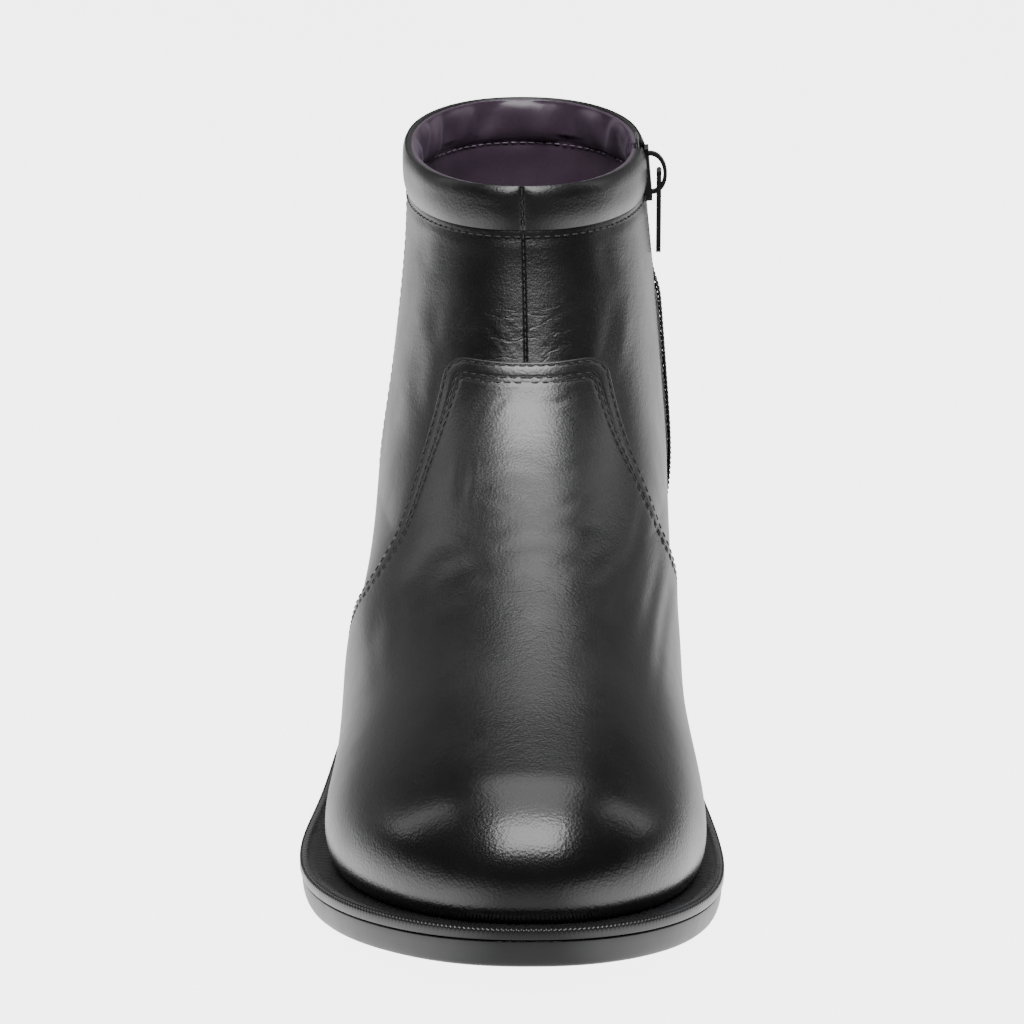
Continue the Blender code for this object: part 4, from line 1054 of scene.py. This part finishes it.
# Many copies of one small rounded shape: middles, three axes each, and the shape's own sizes.
def repeated(name, middle, along, side, out, size, material, rings=4, around=6):
    tilt = np.linspace(-1, 1, rings + 2)[1:-1] * math.pi / 2 * 0.72
    turn = np.linspace(0, 2 * math.pi, around + 1)[:-1]
    body = np.stack([
        np.repeat(np.sin(tilt)[:, None] / math.sin(math.pi / 2 * 0.72), around, 1) * 0.92,
        np.cos(tilt)[:, None] ** 0.6 * np.cos(turn), np.cos(tilt)[:, None] ** 0.6 * np.sin(turn),
    ], axis=-1).reshape(-1, 3)
    unitShape = np.concatenate([body, [(-1, 0, 0), (1, 0, 0)]]) * (np.array(size) / 2)
    index = np.arange(rings * around).reshape(rings, around)
    after = np.roll(index, -1, axis=1)
    quads = ringQuads(index)
    first = np.stack([index[0], after[0], np.full(around, rings * around)], axis=-1)
    last = np.stack([after[-1], index[-1], np.full(around, rings * around + 1)], axis=-1)
    points = (middle[:, None] + along[:, None] * unitShape[None, :, :1]
              + side[:, None] * unitShape[None, :, 1:2] + out[:, None] * unitShape[None, :, 2:])
    shift = (np.arange(len(middle)) * len(unitShape))[:, None, None]
    triangles = np.concatenate([first, last])
    return makeMesh(name, points, [
        (quads[None, :, ::-1] + shift).reshape(-1, 4), (triangles[None, :, ::-1] + shift).reshape(-1, 3),
    ], [material])[0]


teethAt = np.arange(zipper["teethFrom"], slotRun[-1] - 1.2, zipper["pitch"] / 2)
middle, across, out, up = zipFrames(teethAt)
hand = np.where(np.arange(len(teethAt)) % 2 == 0, 1.0, -1.0)[:, None]
lean = unit(across + up * zipper["teethLean"] * hand)
height = -zipper["tapeDepth"] + shoe["gap"] + zipper["toothHeight"] / 2 - 0.25
height = height + puffAt(teethAt, 0 * teethAt + 1.0)[:, None]
teeth = repeated("zipTeeth", middle + across * hand * 1.0 + out * height, lean, np.cross(out, lean), out,
                 (zipper["toothLength"], zipper["toothWidth"], zipper["toothHeight"]), coilPlastic, 4, 8)
ride(teeth, "zip_coil", "zip_chain")
for name in ("zip_slider", "zip_pull"):
    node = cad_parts[name]
    node.data.materials.clear()
    node.data.materials.append(zipMetal)
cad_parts["insole"].data.materials.clear()
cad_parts["insole"].data.materials.append(insoleCloth)
print("zip")


stitch = {"length": 2.0, "pitch": 2.75, "thick": 0.5, "sink": 0.06}


# Stitches of one length laid along lines of (u, v), on the leather's face or lifted from it.
def stitches(name, lines, lift, slot, material=thread, pitch=stitch["pitch"], length=stitch["length"]):
    parts = []
    for line in lines:
        points = upperPoint(line[:, 0], line[:, 1])
        normal = upperNormal(line[:, 0], line[:, 1])
        run = lengths(points)
        wanted = np.arange(pitch / 2, run[-1], pitch)
        ahead = atLengths(points, run, wanted + 0.4) - atLengths(points, run, wanted - 0.4)
        here, out = atLengths(points, run, wanted), unit(atLengths(normal, run, wanted))
        along = unit(ahead - out * (ahead * out).sum(axis=1)[:, None])
        parts.append((here + out * (lift - stitch["sink"]), along, np.cross(out, along), out))
    middle, along, side, out = (np.concatenate(values) for values in zip(*parts))
    size = (length, stitch["thick"], stitch["thick"] * 0.8)
    return ride(repeated(name, middle, along, side, out, size, material), slot)


# A smooth line of (u, v) through points given by their distance along and height on one side.
def lineThrough(points, sign, count=160):
    points = np.array(points, float)
    steps = np.linspace(0, 1, len(points))
    t = np.linspace(0, 1, count)
    along = spline(np.column_stack([steps, points[:, 0]]), t)
    height = spline(np.column_stack([steps, points[:, 1]]), t)
    return np.stack(parametersAt(along, height, sign), axis=1)


vampRows = []
for inside in vampCut["stitchRows"]:
    for line in vampBoundary(inside, 900):
        onRow = np.abs(insideVamp(line[:, 0], line[:, 1]) - inside) < 0.05
        vampRows.append(line[(line[:, 1] > -0.8) & onRow])
stitches("vampStitches", vampRows, vampCut["lift"] + vampCut["leather"], "vamp_leather")

level = np.linspace(0.60, seamLine - 0.01, 200)
frontSeam = [np.stack([0 * level, level], axis=1)]
slotU = shaftU[-2, shaft["front"]] - 0.004, shaftU[-2, shaft["front"] + 1] + 0.004
ringOut = np.concatenate([np.linspace(slotU[0], 0, 200), np.linspace(0, -1, 400)[1:],
                          np.linspace(1, slotU[1], 200)[1:]])
bandLine = np.stack([ringOut, 0 * ringOut + seamLine - 0.012], axis=1)
sideHeights = np.linspace(150.0, 46.0, 60)
sideLine = [lineThrough(np.stack([spline(sideSeam, sideHeights) + gap, sideHeights], axis=1), -1, 60)
            for gap in (1.3, 3.3)]
backLevel = np.linspace(0.08, seamLine - 0.01, 300)
backSeam = [np.stack([0 * backLevel + u, backLevel], axis=1) for u in (0.988, -0.988)]
stitches("shaftStitches", [bandLine] + sideLine + backSeam, 0.0, "upper_leather")
stitches("seamStitches", frontSeam, -0.12, "upper_leather", pitch=1.9, length=1.35)
bandLevel = np.linspace(seamLine + 0.004, 0.995, 40)
stitches("bandStitches", [np.stack([0 * bandLevel, bandLevel], axis=1)], 0.3, "upper_leather")
insideRing = bandLine.copy()
insideRing[:, 1] = seamLine - 0.004
stitches("liningStitches", [insideRing], -shoe["wall"] - 0.1, "upper_leather", liningThread)
print("stitches")


view = {
    "target": (0.0, -0.130, 0.070), "distance": 1.368, "elevation": 18.1, "lens": 177.54,
    "shift": (-8 / 1024, 48 / 1024),
}
elevation = math.radians(view["elevation"])
cameraData = bpy.data.cameras.new("camera")
cameraData.lens = view["lens"]
cameraData.sensor_width = 36
cameraData.shift_x, cameraData.shift_y = view["shift"]
camera = bpy.data.objects.new("camera", cameraData)
camera.location = (
    view["target"][0],
    view["target"][1] - view["distance"] * math.cos(elevation),
    view["target"][2] + view["distance"] * math.sin(elevation),
)
camera.rotation_euler = (math.pi / 2 - elevation, 0, 0)
bpy.context.scene.collection.objects.link(camera)
bpy.context.scene.camera = camera

studio = {  # the last two rows: the sky's brightness below, level with and above the boot
    "background": 5.1, "floorGlow": 4.7, "floorAside": 2.2, "floorSize": 30000, "backdropAway": 25000,
    "front": (1.0, 0.05, 0.03), "behind": (2.6, 0.42, 0.08),
}
world = bpy.data.worlds.new("studio")
world.use_nodes = True
sky = world.node_tree
sky.nodes["Background"].inputs["Color"].default_value = (1, 1, 1, 1)
direction = sky.nodes.new("ShaderNodeTexCoord")
parts = sky.nodes.new("ShaderNodeSeparateXYZ")
sky.links.new(direction.outputs["Generated"], parts.inputs["Vector"])
heights = []
for below, atLevel, above in (studio["front"], studio["behind"]):
    lower = ramp(sky, parts.outputs["Z"], below, atLevel, -0.45, 0.02)
    upper = ramp(sky, parts.outputs["Z"], 1.0, above / atLevel, 0.02, 0.6)
    heights.append(maths(sky, "MULTIPLY", lower, upper))
behind = ramp(sky, parts.outputs["Y"], 0.0, 1.0, 0.1, 0.9)
ahead = maths(sky, "SUBTRACT", 1.0, behind)
aside = maths(sky, "ABSOLUTE", parts.outputs["X"], 0.0)
floorAside = maths(sky, "MULTIPLY",
                   ramp(sky, aside, 0.0, studio["floorAside"], 0.3, 0.85),
                   ramp(sky, parts.outputs["Z"], 1.0, 0.0, -0.3, 0.0))
around = maths(sky, "ADD", maths(sky, "MULTIPLY", heights[0], ahead),
               maths(sky, "MULTIPLY", heights[1], behind))
sky.links.new(maths(sky, "ADD", around, floorAside),
               sky.nodes["Background"].inputs["Strength"])
bpy.context.scene.world = world

softBoxes = {  # name: middle, what it faces, width, length, brightness
    "overhead": ((0.02, -0.67, 1.16), (0.0, -0.22, 0.05), 0.85, 0.70, 11.0),
    "overheadBack": ((0.02, 0.15, 1.24), (0.0, -0.12, 0.05), 0.85, 0.90, 2.6),
    "left": ((-1.1, 0.25, 0.75), (0.0, -0.15, 0.06), 0.3, 0.9, 2.0),
    "right": ((1.1, 0.25, 0.75), (0.0, -0.15, 0.06), 0.3, 0.9, 2.0),
}
for name, (middle, aim, wide, tall, bright) in softBoxes.items():
    data = bpy.data.lights.new(name, "AREA")
    data.shape = "RECTANGLE"
    data.size, data.size_y = wide, tall
    data.energy = bright * math.pi * wide * tall
    lamp = bpy.data.objects.new(name, data)
    away = unit(np.array(aim) - np.array(middle))
    side = unit(np.cross((0, 1, 0) if name.startswith("overhead") else (0, 0, 1), away))
    up = np.cross(side, away)
    turned = np.eye(4)
    turned[:3] = np.stack([side, up, -away, middle], axis=1)
    lamp.matrix_world = Matrix(turned.tolist())
    bpy.context.scene.collection.objects.link(lamp)


# An evenly bright surface for the floor and the backdrop.
def glowing(name, strength):
    made, tree, shader = newMaterial(name, {
        "Base Color": (0.15, 0.15, 0.15, 1), "Roughness": 0.8, "Emission Color": (1, 1, 1, 1),
    })
    cloudy = noise(tree, millimetres(tree), 300.0, 2.0)
    tree.links.new(ramp(tree, cloudy, strength * 0.99, strength * 1.01),
                   shader.inputs["Emission Strength"])
    return made


square = np.array([(-1, -1, 0), (1, -1, 0), (1, 1, 0), (-1, 1, 0)], float)
floor, _ = makeMesh("floor", square * studio["floorSize"], [[(0, 1, 2, 3)]],
                    [glowing("paleFloor", studio["floorGlow"])])
upright = square[:, [0, 2, 1]] * studio["floorSize"] + np.array([0, studio["backdropAway"], 0])
backdrop, _ = makeMesh("backdrop", upright, [[(0, 1, 2, 3)]],
                       [glowing("paleBackdrop", studio["background"])])
for piece in (floor, backdrop):
    piece.visible_glossy = False
    piece.visible_diffuse = False
print("camera, light and floor")
